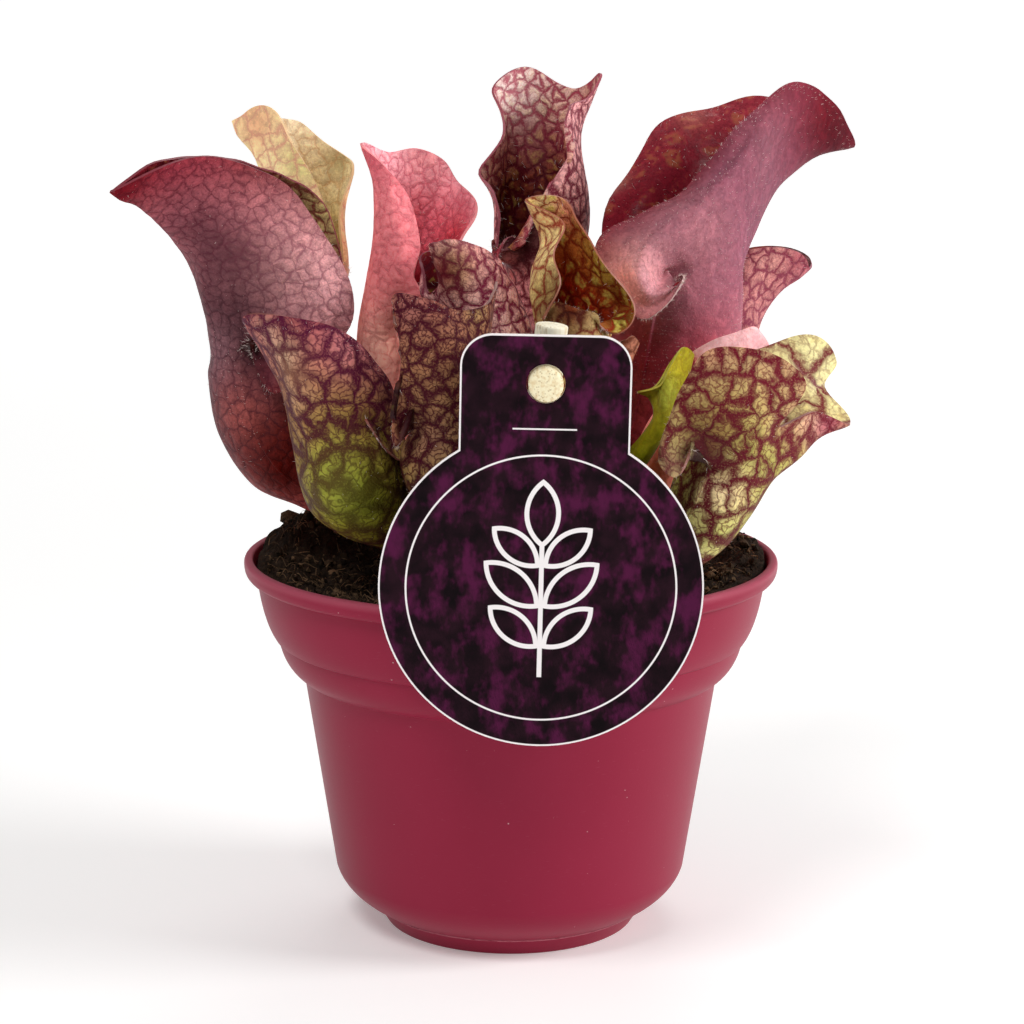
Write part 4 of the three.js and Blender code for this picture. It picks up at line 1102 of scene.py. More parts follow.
# Looks of the leaves. Colours run from the stalk's foot, share 0, to the rim, share 1.
# mesh: columns and rows. cell: size of the net's cells. bold and fine: strength of the net and the finer net.
# down: numbers of hairs on the rim, on the inside and on the outside.
# A touch is a local tint: x, y, z, radius, and a colour with its amount for each layer that it changes.
# A nudge moves the surface near a place a little: x, y, z, radius, and how far along x, y and z.
LOOKS = {
    "leaf_left_large": dict(
        mesh=(140, 132), cell=2.3, bold=0.45, fine=0.4, margin=0x7c2030, throat_bold=0.8, spots=0.15,
        down=(600, 700, 500),
        skin=[
            (0, 0x300804), (0.15, 0x4c0c08), (0.28, 0xc85c50), (0.42, 0xbc5c58), (0.55, 0x64383e),
            (0.7, 0x643c44), (0.82, 0x885058), (0.93, 0xb4646c), (1, 0x7c2a30),
        ],
        veins=[(0, 0x200406), (0.3, 0x742038), (0.55, 0x441a26), (0.75, 0x541c30), (1, 0x541020)],
        throat=[(0, 0x300c08), (0.6, 0x4c1c18), (0.85, 0x742c34), (1, 0x7c2c38)],
        throat_veins=[(0, 0x301010), (0.8, 0x5c181c), (1, 0x6c2428)],
        touches=[
            touch(-59.8, -31.9, 127.3, 7, skin=(0x680e1a, 1), veins=(0x4c0814, 1)),
            touch(-54, -24.3, 131.1, 5, skin=(0x8c2c3c, 0.6)),
            touch(-31.5, 1.6, 122, 7, throat=(0xfce498, 1), throat_veins=(0xa85048, 0.9)),
            # Near-black and dark red at the sinus, on this and the next touch: painted shade standing in for
            # the dark hole
            touch(-41.8, -13.7, 99.9, 5, throat=(0x1c0c08, 1), throat_veins=(0x1c0c08, 1)),
            touch(-38.9, -14.4, 96.7, 4, throat=(0x4c1c20, 1)),
            touch(-47.2, -22.5, 131.5, 5, skin=(0x9c3c4a, 0.5)),
            touch(-33, -14.2, 113.9, 11, skin=(0xe0a4a4, 0.85), veins=(0xa45c6c, 0.8)),
            touch(-29.9, -13.1, 108.6, 6, skin=(0xe4a8ac, 0.6)),
            touch(-51.3, -18.1, 120.9, 8, skin=(0x643440, 0.6)),
            touch(-46.1, -15.8, 116, 7, skin=(0x5c343c, 0.8)),
            touch(-45.7, -10.2, 104.1, 9, skin=(0x502c34, 0.9), veins=(0x34181e, 0.9)),
            touch(-47.9, -7.9, 98.2, 5, skin=(0x9c7078, 0.6)),
            # Near-black at the sinus: painted shade
            touch(-41.9, -13.6, 100.2, 4, skin=(0x2c1214, 0.9), veins=(0x1c0a0c, 0.9)),
            touch(-43.8, -11.4, 88.6, 7, skin=(0xb05c54, 0.6)),
            touch(-37, -11, 84.7, 6, skin=(0x6c2018, 0.8)),
            # Dark at the sinus, on these three touches: painted shade standing in for the dark hole
            touch(-41.6, -13.9, 99.4, 4, skin=(0x30181c, 0.9)),
            touch(-39.7, -14.4, 96.4, 4, skin=(0x502028, 0.9)),
            touch(-41.3, -14, 98.7, 7, throat=(0x30100e, 1), throat_veins=(0x200808, 1)),
            touch(-37.5, -10.5, 79.3, 9, skin=(0x4c0804, 1), veins=(0x300402, 1)),
            touch(-56.3, -27.3, 130.3, 7, throat=(0x84202c, 1), throat_veins=(0x641420, 1)),
        ],
        nudges=[
            (-32.3, -14.6, 124, 6, -0.6, 0, -0.8), (-30, -12.9, 119.2, 5, -0.5, 0, -0.3),
            (-32.2, 1.3, 121.3, 6, 1.1, 0, 1.2), (-50.6, -9.7, 112.2, 9, -1.2, 0, -0.3),
            (-57.5, -24.8, 123, 6, 0, 0, 0.9), (-27.6, -11.5, 108, 8, 1, 0, 0),
        ],
    ),
    "leaf_front_left": dict(
        mesh=(120, 100), cell=4.0, bold=1.3, fine=1.1, margin=0x8c5040, throat_bold=0.8, spots=0.3,
        down=(400, 300, 90),
        skin=[
            (0, 0x4c5408), (0.2, 0x6c740c), (0.35, 0x685c14), (0.5, 0x7c6428), (0.7, 0x8c7434),
            (0.85, 0x947040), (1, 0xa45c5c),
        ],
        veins=[
            (0, 0x384008), (0.2, 0x3c3c08), (0.35, 0x340c0c), (0.5, 0x40081c), (0.7, 0x440818), (1, 0x541430),
        ],
        throat=[(0, 0x3c3010), (0.6, 0x7c7430), (1, 0x9c7c50)],
        throat_veins=[(0, 0x401414), (1, 0x6c2028)],
        touches=[
            touch(-39.3, -31, 104.3, 6, throat=(0x502020, 1)),
            touch(-25.1, -34.3, 103.5, 5, skin=(0xc0747c, 0.6)),
            touch(-32.4, -36.2, 106.2, 5, skin=(0x883c44, 0.5)),
            touch(-23.5, -34.4, 79.3, 9, skin=(0x788420, 0.8)),
            touch(-28.6, -34.3, 85.3, 5, skin=(0x9ca040, 0.5)),
            touch(-27.3, -35.2, 81.3, 5, skin=(0x8c9438, 0.6)),
            touch(-27.3, -35.3, 82.3, 6, veins=(0x5c4424, 0.6)),
            touch(-23.7, -34.2, 78.7, 7, veins=(0x585818, 0.8)),
            touch(-22.2, -33.8, 91.4, 3, skin=(0x4c2018, 0.7)),
            touch(-37.6, -33.7, 105.7, 2.5, skin=(0xb8907c, 0.8)),
            touch(-34.9, -35.3, 102.2, 3, skin=(0xb8987c, 0.9)),
            touch(-33.5, -35, 95.9, 3, skin=(0xb48c6c, 0.9)),
            touch(-32.9, -32.1, 90.3, 3, skin=(0x946c48, 0.7)),
            touch(-34.3, -35.5, 99.6, 3, veins=(0x8c6048, 0.7)),
            touch(-18.2, -30.1, 85.7, 5, skin=(0xa09040, 0.6)),
        ],
    ),
    "leaf_front_middle": dict(
        mesh=(120, 100), cell=3.3, bold=1.3, fine=1.2, margin=0x8c5c50, throat_bold=0.9, spots=0.1,
        down=(400, 260, 120),
        skin=[(0, 0x6c4c40), (0.4, 0x7c6438), (0.65, 0x8e7440), (1, 0x8c5848)],
        veins=[(0, 0x2c060c), (0.5, 0x3c0818), (1, 0x44081c)],
        throat=[(0, 0x30100c), (0.6, 0x4c2020), (1, 0x8c5440)],
        throat_veins=[(0, 0x300c0c), (1, 0x4c1018)],
        touches=[
            touch(-15.7, -35.5, 110.2, 4, skin=(0x9c5c5c, 0.6)),
            touch(-12.7, -33.2, 88.5, 6, skin=(0x805450, 0.6)),
            touch(-5.4, -31.2, 109, 3, skin=(0xb0a05c, 0.4)),
            touch(-17.3, -36, 91.1, 3, skin=(0x8c5c40, 0.7)),
            # Near-black inside at the sinus, on these two touches: painted shade standing in for the dark
            # hole
            touch(-17.8, -36.2, 95.1, 5, throat=(0x301418, 1), throat_veins=(0x200c10, 1)),
            touch(-15.5, -36.2, 92.3, 5, throat=(0x301418, 1)),
        ],
        nudges=[(-14.9, -30.6, 85, 7, -2.5, 0, 0)],
    ),
    "leaf_inner_dark": dict(
        mesh=(90, 84), cell=3.0, bold=1.2, fine=0.8, margin=0x7c3840, throat_bold=1.0, spots=0.5,
        down=(350, 200, 200),
        skin=[(0, 0xb04c44), (0.4, 0xeca49c), (0.7, 0xffccc0), (1, 0xffbab8)],
        veins=[(0, 0x5c1020), (0.6, 0x881e44), (1, 0x881e44)],
        throat=[(0, 0x400810), (0.6, 0x6c1018), (1, 0x9c4040)],
        throat_veins=[(0, 0x300c10), (1, 0x5c1c28)],
        touches=[
            touch(-10.4, -13.9, 116.1, 4, skin=(0xe8b4ac, 0.8), veins=(0xb87c7c, 0.7)),
            touch(-7.4, -13.8, 115.1, 4, skin=(0xb06068, 0.6)),
            touch(-9.9, -13.7, 112.9, 4.5, skin=(0xac9058, 0.85), veins=(0x5c1424, 0.75)),
            touch(-15.1, -1.8, 112.6, 7, throat=(0x68101a, 1)),
            touch(-16.1, -3, 113.6, 4, skin=(0x901c28, 0.9)),
            touch(-11.6, -12.5, 112.5, 3.5, skin=(0x80202c, 0.9)),
            touch(-12.5, -11.6, 113.1, 6, veins=(0x640c1c, 0.9)),
        ],
        nudges=[(-16, -2.9, 114.4, 6, 2.2, 0, 0)],
    ),
    "leaf_pink": dict(
        mesh=(96, 92), cell=2.2, bold=0.3, fine=0.1, margin=0xf09898, throat_bold=0.5, spots=0,
        down=(300, 500, 0),
        skin=[(0, 0xac6440), (0.3, 0xf08c70), (0.5, 0xf88c80), (0.68, 0xf88488), (1, 0xff9098)],
        veins=[(0, 0x84401c), (0.5, 0xd85c58), (1, 0xe05068)],
        throat=[(0, 0x380204), (0.6, 0x640408), (0.78, 0xa02838), (0.9, 0xf08090), (1, 0xffbcc4)],
        throat_veins=[(0, 0x300204), (0.8, 0x84101c), (1, 0xe0687c)],
        touches=[
            touch(-15.1, 20.1, 129.3, 5, throat=(0xffb0b4, 0.9), throat_veins=(0xe88090, 0.9)),
            touch(-8.5, 16.9, 120.7, 4, throat=(0xd4808c, 0.7)),
            touch(-24.1, 5.2, 129.6, 4, skin=(0xe45c70, 0.6)), touch(-21.9, 4.7, 97, 8, skin=(0xffbca8, 0.9)),
            touch(-9.5, 13.9, 115, 6, throat=(0xb82028, 0.8)),
            touch(-12.5, 16.2, 110.7, 4, skin=(0x780c14, 0.9)),
        ],
        nudges=[(-23.2, 5, 125, 8, 1.7, 0, 0), (-24.5, 9.9, 131, 4, -0.4, 0, 0.7)],
    ),
    "leaf_back_left": dict(
        mesh=(90, 92), cell=3.4, bold=0.55, fine=0.2, margin=0xe8cc94, throat_bold=0.4, spots=0,
        down=(220, 300, 0),
        skin=[(0, 0xb88c5c), (0.4, 0xdcb87c), (0.7, 0xfff0b8), (1, 0xf8dca4)],
        veins=[(0, 0x845030), (0.5, 0xc88870), (1, 0xe4a088)],
        throat=[(0, 0x5c4418), (0.6, 0xa08c48), (0.85, 0xccbc80), (1, 0xf8ecc8)],
        throat_veins=[(0, 0x502010), (0.8, 0xb08040), (1, 0xd0a070)],
        touches=[
            touch(-44.4, 20.9, 134.5, 4, skin=(0xd8a07c, 0.8)),
            touch(-35.6, 15.6, 128.1, 4, skin=(0xd4d484, 0.7)),
            touch(-30.1, 31.4, 127.8, 4, throat=(0x948c4c, 0.7)),
        ],
        nudges=[
            (-44.6, 21.7, 129.2, 6, 1.5, 0, 0), (-41.1, 18.7, 135.3, 4, 0.4, 0, 1),
            (-46.3, 22.7, 134, 3.5, -1.2, 0, -0.8), (-47.9, 23.9, 135.2, 3, 0.6, 0, -0.5),
            (-34.1, 32.2, 131.2, 5, -1, 0, -1),
        ],
    ),
    "leaf_back_tall": dict(
        mesh=(128, 110), cell=2.6, bold=1.2, fine=0.8, margin=0xa8505c, throat_bold=1.25, spots=0.25,
        down=(420, 500, 60),
        skin=[(0, 0x2c0404), (0.4, 0x743038), (0.62, 0xd08c8c), (1, 0xf4b0b0)],
        veins=[(0, 0x180404), (0.5, 0x5c1820), (1, 0x802c40)],
        throat=[
            (0, 0x0c0002), (0.5, 0x200004), (0.75, 0x480c10), (0.86, 0x843c28), (0.93, 0xc47468),
            (1, 0xffd4c8),
        ],
        throat_veins=[(0, 0x080002), (0.6, 0x100002), (0.86, 0x500a18), (1, 0xa83c50)],
        touches=[
            touch(5.5, 31.3, 136.7, 2, throat=(0xc8b868, 0.7)),
            touch(-0.6, 30.4, 139.5, 7, throat=(0xffece4, 1)),
            touch(-0.6, 30.4, 139.5, 5, throat_veins=(0xd07c88, 0.8)),
            touch(-4.1, 22.8, 127.7, 3.5, throat=(0xd0947c, 0.9)),
            touch(3.8, 32.4, 131.3, 5, throat=(0x6c1c24, 0.6)),
            touch(-2.4, 14.5, 119.4, 3.5, throat=(0xd8a874, 0.8)),
            touch(7.6, 11.5, 119.8, 6, skin=(0xf4b8b0, 0.8)),
            touch(13.9, 26.4, 140.2, 4, throat=(0xb87c68, 0.8)),
            touch(1.2, 10.3, 115.1, 5, skin=(0x2c0c10, 0.95), veins=(0x200608, 0.95)),
            touch(3.2, 10.2, 117.2, 4, skin=(0x401418, 0.9)),
        ],
        nudges=[
            (5.1, 30.7, 142.2, 5, 0, 0, 0.8), (10.7, 28.9, 139.5, 4, 0, 0, 0.7),
            (12.5, 18.7, 137.1, 5, -1.1, 0, 0), (11.5, 16.9, 124.6, 7, 0.9, 0, 0),
            (-3.3, 23.6, 130.9, 5, 0.7, 0, 0), (-5, 19.5, 126.4, 4, -0.8, 0, 0),
        ],
    ),
    "leaf_inner_small": dict(
        mesh=(110, 100), cell=2.6, bold=0.8, fine=0.5, margin=0x94583c, throat_bold=0.7, spots=0.8,
        down=(200, 90, 60), blade=0.3,
        skin=[(0, 0x2c1004), (0.4, 0x643410), (0.62, 0xf0d07c), (1, 0xfce8a0)],
        veins=[(0, 0x401008), (0.5, 0x8c2820), (1, 0xa84030)],
        throat=[(0, 0x280202), (0.6, 0x700a06), (0.88, 0xac3018), (1, 0xc08c40)],
        throat_veins=[(0, 0x280202), (0.7, 0x480604), (1, 0x8c2c18)],
        touches=[
            touch(5.9, -9, 123.1, 3, skin=(0xe0946c, 0.8)), touch(5.4, -16.7, 109.8, 4, skin=(0xc0b45c, 0.6)),
            touch(15, -13.7, 113.5, 4, throat=(0xc8b048, 0.7)),
            touch(17, -14.6, 104.7, 4, throat=(0x4c3410, 1)),
            touch(9.3, -19.3, 107.2, 7, skin=(0x5c2410, 1), veins=(0x340a04, 1)),
            touch(8.4, -9.5, 122.6, 3, throat=(0xe88c78, 0.9)),
            touch(4.4, -9.2, 123.9, 3, throat=(0xf0dc9c, 0.9)),
        ],
    ),
    "leaf_right_large": dict(
        mesh=(140, 134), cell=3.4, bold=0.14, fine=0.16, margin=0xe0c0bc, throat_bold=0.2, spots=0.1,
        down=(3000, 1500, 3600), hair=0.85,
        skin=[
            (0, 0x300206), (0.25, 0x5c0c1a), (0.4, 0xa44858), (0.55, 0xac6470), (0.75, 0x80485a),
            (0.9, 0x744050), (1, 0x6c1c2a),
        ],
        veins=[(0, 0x300408), (0.3, 0x500c18), (0.6, 0x904454), (1, 0x74182c)],
        throat=[(0, 0x200006), (0.6, 0x4c040e), (0.85, 0x701020), (1, 0x8c2c38)],
        throat_veins=[(0, 0x180206), (0.7, 0x34040c), (1, 0x540a18)],
        touches=[
            touch(56.2, 27.5, 133.7, 8, skin=(0x400410, 1), veins=(0x300410, 1)),
            touch(50.5, 19.9, 139.8, 7, skin=(0x742838, 0.7)),
            touch(53.9, 24.4, 137.1, 6, skin=(0x5c0414, 0.9)),
            touch(42.7, 9.7, 131.6, 8, skin=(0x88505c, 0.4)),
            touch(19.5, -8.2, 110.4, 6, skin=(0xf8b8b8, 0.9)),
            touch(22.5, -9.3, 108.9, 7, skin=(0xc88890, 0.7)),
            touch(30.3, -3.4, 117.1, 8, skin=(0xc08088, 0.5)),
            touch(30.8, -2.8, 95.2, 9, skin=(0x882838, 0.8), veins=(0x5c1420, 0.8)),
            touch(22.2, -3.5, 97.5, 7, skin=(0x6c1420, 0.9)),
            touch(18.5, 25.7, 124.3, 2, throat=(0xa8806c, 0.5)),
            touch(31.4, 31.7, 135.5, 3, throat=(0xa8685c, 0.5)),
            # Near-black at the sinus: painted shade standing in for the dark hole
            touch(28, -6.7, 111.5, 2.5, skin=(0x2c0c0c, 0.9)),
            touch(38.4, 6.9, 135.4, 8, skin=(0x7c4854, 0.5)),
        ],
        nudges=[
            (26.8, 0.2, 126.6, 8, 0.3, 0, -1.7), (30.4, 1.4, 129.2, 6, 0, 0, -0.6),
            (21.7, -1.4, 122.8, 6, 0, 0, -0.8), (21.5, 27.6, 128.8, 6, 1.2, 0, -1),
            (36.4, 33.1, 137.8, 7, 0, 0, -1), (53.9, 28, 128, 5, 0, 0, 1),
        ],
    ),
    "leaf_back_right": dict(
        mesh=(90, 80), cell=3.0, bold=0.9, fine=0.6, margin=0xa86c78, throat_bold=1.0, spots=0.2,
        down=(220, 150, 120),
        skin=[(0, 0x743438), (0.4, 0x985c5c), (0.7, 0xc48880), (1, 0xa45c64)],
        veins=[(0, 0x501820), (0.6, 0x8c4054), (1, 0x7c2c40)],
        throat=[(0, 0x401014), (1, 0x8c3c40)],
        throat_veins=[(0, 0x300c10), (1, 0x601820)],
        touches=[
            touch(45.5, 26.8, 110.8, 6, skin=(0xe0a898, 0.5)),
            touch(50.3, 30.6, 110.6, 3, skin=(0x9c5058, 0.7)),
        ],
        nudges=[(50.8, 33.3, 107.6, 4, 0, 0, -0.8)],
    ),
    "leaf_right_pink": dict(
        mesh=(64, 66), cell=3.6, bold=0.08, fine=0.1, margin=0xffc8c8, throat_bold=0.5, spots=0,
        down=(120, 60, 0),
        skin=[(0, 0x6c3418), (0.35, 0xc06838), (0.6, 0xf89080), (0.85, 0xffb8bc), (1, 0xffc4c8)],
        veins=[(0, 0x5c2414), (0.6, 0xc0704c), (1, 0xf8b0b0)],
        throat=[(0, 0x401810), (1, 0x9c5048)],
        throat_veins=[(0, 0x300c08), (1, 0x78302c)],
        touches=[
            touch(37.9, -13.2, 102.5, 5, skin=(0xffc0c4, 0.8)),
        ],
    ),
    "leaf_front_right": dict(
        mesh=(132, 104), cell=4.3, bold=1.5, fine=1.0, margin=0xa06c60, throat_bold=0.9, spots=0.2,
        down=(200, 200, 160),
        skin=[
            (0, 0x98a048), (0.2, 0xfff4b8), (0.4, 0xffecb4), (0.6, 0x98984c), (0.8, 0xa09850), (1, 0xb08c68),
        ],
        veins=[(0, 0x843828), (0.3, 0x8c2438), (0.55, 0x54081c), (1, 0x681024)],
        throat=[(0, 0x5c2c14), (0.6, 0xa87c44), (1, 0xdcd094)],
        throat_veins=[(0, 0x401010), (0.6, 0x5c1c24), (1, 0x74202c)],
        touches=[
            touch(30, -36.8, 102.1, 3, skin=(0xb86c60, 0.25)),
            touch(31.1, -37.8, 92.3, 5, skin=(0x806030, 0.5)),
            touch(49.3, -13, 99.1, 5, skin=(0xdce4a0, 0.7), throat=(0xdcd49c, 0.8)),
            touch(49.1, -24.4, 90.1, 3, skin=(0x8c4458, 0.9)),
            touch(49.3, -13, 99.1, 5, throat_veins=(0x702028, 0.9)),
            touch(47.2, -27.1, 92.2, 4, skin=(0xd8a890, 0.7)),
            touch(30.1, -36.6, 88.4, 4, skin=(0x5c201c, 0.7)),
            touch(30.1, -36.6, 88.4, 5, veins=(0x48101c, 0.8)),
            touch(25, -38.1, 84.7, 4, skin=(0xc0a878, 0.8), veins=(0x8c5850, 0.6)),
            # The second touch on this line, near-black at the sinus, is painted shade
            touch(32.5, -35.9, 80, 5, skin=(0xffd8b8, 0.6)), touch(29.5, -36.4, 87, 3, skin=(0x3c1414, 1)),
            touch(32.4, -35.4, 75.8, 5, skin=(0xc8cc68, 0.4)),
            touch(51.6, -22.4, 90.5, 4, skin=(0xa0485c, 0.8)),
            touch(28.7, -36.5, 86.3, 3, skin=(0x5c3828, 0.9)),
            # Near-black inside at the sinus: painted shade standing in for the dark hole
            touch(29, -36.2, 85.8, 6, throat=(0x2c1010, 1), throat_veins=(0x200808, 1)),
        ],
        nudges=[
            (26.1, -38.4, 82.7, 5, 0, 0, 2), (33.9, -36.4, 103.8, 8, 0, 0, -1.1),
            (47.1, -13, 100.7, 5, 0, 0, 1), (49.9, -14.4, 95.4, 4, -1.3, 0, 0),
            (43.7, -27, 85.4, 6, 1, 0, -1.2),
        ],
    ),
    "leaf_young": dict(
        mesh=(56, 60), cell=3.0, bold=0.3, fine=0.3, margin=0xc8c84c, throat_bold=0.4, spots=0,
        down=(60, 20, 0), blade=0.35,
        skin=[(0, 0x343804), (0.4, 0x444c06), (0.65, 0x686c08), (1, 0x9c9420)],
        veins=[(0, 0x5c5408), (0.6, 0x7c7408), (1, 0x947020)],
        throat=[(0, 0x606008), (1, 0xb8b428)],
        throat_veins=[(0, 0x404008), (1, 0x7c780c)],
        touches=[
            touch(26, -21.8, 98.3, 3, skin=(0xb8a818, 0.6)),
            touch(24.1, -22.9, 94.8, 3, skin=(0xa0a840, 0.8)),
        ],
    ),
    "leaf_withered": dict(
        mesh=(48, 60), cell=2.4, bold=0.8, fine=0.6, margin=0xa86c58, throat_bold=0.8, spots=0,
        down=(30, 10, 0), blade=0.35,
        skin=[(0, 0x503018), (0.5, 0x885040), (1, 0xb87860)],
        veins=[(0, 0x38180c), (1, 0x743c2c)],
        throat=[(0, 0x301c10), (1, 0x5c3c2c)],
        throat_veins=[(0, 0x20100c), (1, 0x3c2018)],
    ),
}


# Pot
POT_SIDES = 168
DRILL_SIDES = 32
DRILL_DEPTH = 3
DRILL_MIDDLE = 2.2


def pot_profile():
    """Radius and height along the wall, from the middle drain hole underneath, over the lip, to the floor"""
    foot_x, foot_z = FOOT_TOP
    end_x, end_z = BODY_END
    body_x, body_z = BODY_TOP
    step_x, step_z = COLLAR_STEP
    lip_x = RIM_OPENING + 0.9
    profile = [(DRAIN_RADIUS, FLOOR_BOTTOM), (17.6, FLOOR_BOTTOM), (18.3, 0.3), (18.6, 0), (20.9, 0)]

    def curve(control, end, steps):
        """Goes on from the last point along a quadratic curve"""
        last, control, end = (np.array(point) for point in (profile[-1], control, end))
        for t in np.arange(1, steps + 1) / steps:
            profile.append(tuple((1 - t) ** 2 * last + 2 * t * (1 - t) * control + t * t * end))

    curve((FOOT_RADIUS, 0), (21.5, 0.4), 3)
    profile += [(foot_x - 0.05, foot_z - 0.15), (foot_x + 0.12, foot_z), FOOT_TOP]
    curve((end_x - 1.2, end_z - 4), BODY_END, 10)
    profile += [(body_x - 0.05, body_z - 0.5), (body_x + 0.1, body_z - 0.1), (body_x + 0.75, body_z + 0.15)]
    curve((step_x - 0.9, body_z + 1.9), (step_x - 0.1, step_z - 0.3), 12)
    profile.append((step_x + 0.45, step_z + 0.05))
    curve((RIM_RADIUS - 3.0, step_z + 3), (42.9, LIP_BOTTOM - 0.2), 12)
    curve((43.0, LIP_BOTTOM), (43.8, LIP_BOTTOM), 3)
    curve((RIM_RADIUS, LIP_BOTTOM + 0.1), (RIM_RADIUS, POT_HEIGHT - 0.9), 6)
    curve((RIM_RADIUS, POT_HEIGHT), (RIM_RADIUS - 0.9, POT_HEIGHT), 6)
    curve((lip_x, POT_HEIGHT), (lip_x, POT_HEIGHT - 0.7), 5)
    profile += [(RIM_OPENING, 59.5), (41.3, 54.7), (38.2, 50.6), (37.0, 47.2), (33.8, 43.7), (28.6, 10.5)]
    return profile + [(foot_x - POT_WALL, FLOOR_TOP), (DRAIN_RADIUS, FLOOR_TOP)]


def make_pot():
    """The wall drawn up from a circle, one point of its profile after another, with drilled drain holes"""
    profile = pot_profile()
    deselect()
    radius, height = profile[0]
    bpy.ops.mesh.primitive_circle_add(vertices=POT_SIDES, radius=radius * MM, location=(0, 0, height * MM))
    pot = named("pot_body")
    bpy.ops.object.transform_apply()
    bpy.ops.object.mode_set(mode="EDIT")
    bpy.ops.mesh.select_all(action="SELECT")
    for (radius, height), (next_radius, next_height) in zip(profile, profile[1:]):
        lift = (0, 0, (next_height - height) * MM)
        bpy.ops.mesh.extrude_region_move(TRANSFORM_OT_translate={"value": lift})
        growth = next_radius / radius
        bpy.ops.transform.resize(value=(growth, growth, 1), center_override=(0, 0, next_height * MM))
    bpy.ops.mesh.select_all(action="DESELECT")
    bpy.ops.mesh.select_mode(type="EDGE")
    bpy.ops.mesh.select_non_manifold()
    bpy.ops.mesh.bridge_edge_loops()
    edit_all(pot, bpy.ops.mesh.normals_make_consistent, inside=False)
    drills = []
    for hole in range(DRAIN_COUNT):
        angle = hole / DRAIN_COUNT * 2 * math.pi
        x = DRAIN_CIRCLE * math.cos(angle)
        y = DRAIN_CIRCLE * math.sin(angle)
        deselect()
        bpy.ops.mesh.primitive_cylinder_add(
            vertices=DRILL_SIDES, radius=DRAIN_RADIUS * MM, depth=DRILL_DEPTH * MM,
            location=(x * MM, y * MM, DRILL_MIDDLE * MM))
        drills.append(named(f"drill_{hole}"))
    fuse(drills[0], *drills[1:])
    merge_with(pot, drills[0], "DIFFERENCE")
    dress(pot, POT_PLASTIC)
    smooth(pot, degrees=12)
    hand_over(pot, "pot")


# Soil
SOIL_SEED = 7
SOIL_SWELLS = ((0.5, 4.2), (0.35, 1.7))  # height and wavelength
SOIL_ROUGHNESS = 0.16
# Radius and height of the filling's side, inside the pot's wall
SOIL_SIDE = [(0, 3.3), (21.5, 3.3), (28.3, 10.5), (33.5, 43.7), (36.7, 47.2), (37.9, 50.6), (41.0, 54.7),
             (42.1, 59.5)]
SOIL_COLUMNS = 330
LID_ROWS = 84
LID_CROWDING = 1.15  # above 1, the rows stand closer at the pot's wall
SOIL_TUCK = 0.3  # how far the soil's edge reaches into the wall
SUNK = 0.3  # how far the lid, the crumbs and the fibres lie below the solid's height
SCATTER_RADIUS = 41.4
FIBRE_REACH = 41.6
CRUMB_COUNT = 2300
CRUMB_SIZE = 0.33
LARGEST_CRUMB = 1.5
FIBRE_COUNT = 1700
FIBRE_BENDS = 5
FIBRE_LENGTHS = (0.8, 4.2)
FIBRE_WIDTHS = (0.035, 0.1)


def soil_height(x, y):
    heaps = sum(height * np.exp(-((x - at_x) ** 2 + (y - at_y) ** 2) / (2 * spread ** 2))
                for at_x, at_y, height, spread in SOIL_HEAPS)
    crumbs = 0.35 * np.sin(0.9 * x + 1.3) * np.cos(0.8 * y) + 0.25 * np.sin(1.7 * x - 1.1 * y)
    bank = SOIL_BANK / (1 + np.exp((BANK_RADIUS - np.hypot(x, y)) / BANK_SOFTNESS))
    return SOIL_LEVEL + heaps + bank + crumbs


def make_soil():
    """The peat filling: a smooth side, a rough lid, and crumbs and fibres lying on it"""
    rng = np.random.default_rng(SOIL_SEED)
    lid = (RIM_OPENING + SOIL_TUCK) * (1 - np.linspace(0, 1, LID_ROWS) ** LID_CROWDING)
    turn = 2 * math.pi * np.arange(SOIL_COLUMNS) / SOIL_COLUMNS
    radii = np.concatenate([[radius for radius, _ in SOIL_SIDE], lid])
    x = radii[:, None] * np.cos(turn)
    y = radii[:, None] * np.sin(turn)
    z = np.repeat(np.array([height for _, height in SOIL_SIDE] + [0.0] * LID_ROWS)[:, None], SOIL_COLUMNS, 1)
    top = slice(len(SOIL_SIDE), None)
    flat = np.stack([x[top], y[top], 0 * x[top]], -1)
    rough = sum(height * ripple(flat, rng, length, count=9) for height, length in SOIL_SWELLS)
    rough += rng.normal(scale=SOIL_ROUGHNESS, size=rough.shape)
    rough *= np.clip(np.arange(LID_ROWS) / 4, 0, 1)[:, None]
    z[top] = soil_height(x[top], y[top]) + rough - SUNK
    z[len(SOIL_SIDE)] -= SUNK
    surface = np.stack([x, y, z], -1)
    surface[-1] = surface[-1].mean(0)
    shade = rng.uniform(0, 1, surface.shape[:2] + (1,)) ** 2
    tone = np.array(ink(0x1a120d)) * (1 - shade) + np.array(ink(0x3b2b20)) * shade
    soil = wrapped_sheet("peat_filling", surface, {"peat_tone": tone})
    edit_all(soil, bpy.ops.mesh.normals_make_consistent, inside=False)
    crumbs = make_crumbs(rng)
    fibres = make_fibres(rng)
    for part in (soil, crumbs, fibres):
        dress(part, PEAT)
    fuse(soil, crumbs, fibres)
    smooth(soil, degrees=50)
    hand_over(soil, "soil")


def paint_tones(piece, rng, count, corners, lightness):
    """One tone for all the corners of each small lump: mostly black-brown, some lighter fibre brown"""
    shade = rng.uniform(0, 1, (count, 1)) ** 1.8
    tones = np.array(ink(0x120c08)) * (1 - shade) + np.array(ink(0x8a6c50)) * shade
    paint(piece.data, "peat_tone", np.repeat(tones * lightness, corners, 0))


def scattered(rng, count):
    """Places on the soil inside the rim"""
    radius = SCATTER_RADIUS * np.sqrt(rng.uniform(0, 1, count))
    angle = rng.uniform(0, 2 * math.pi, count)
    x = radius * np.cos(angle)
    y = radius * np.sin(angle)
    return np.stack([x, y, soil_height(x, y) - SUNK], -1)


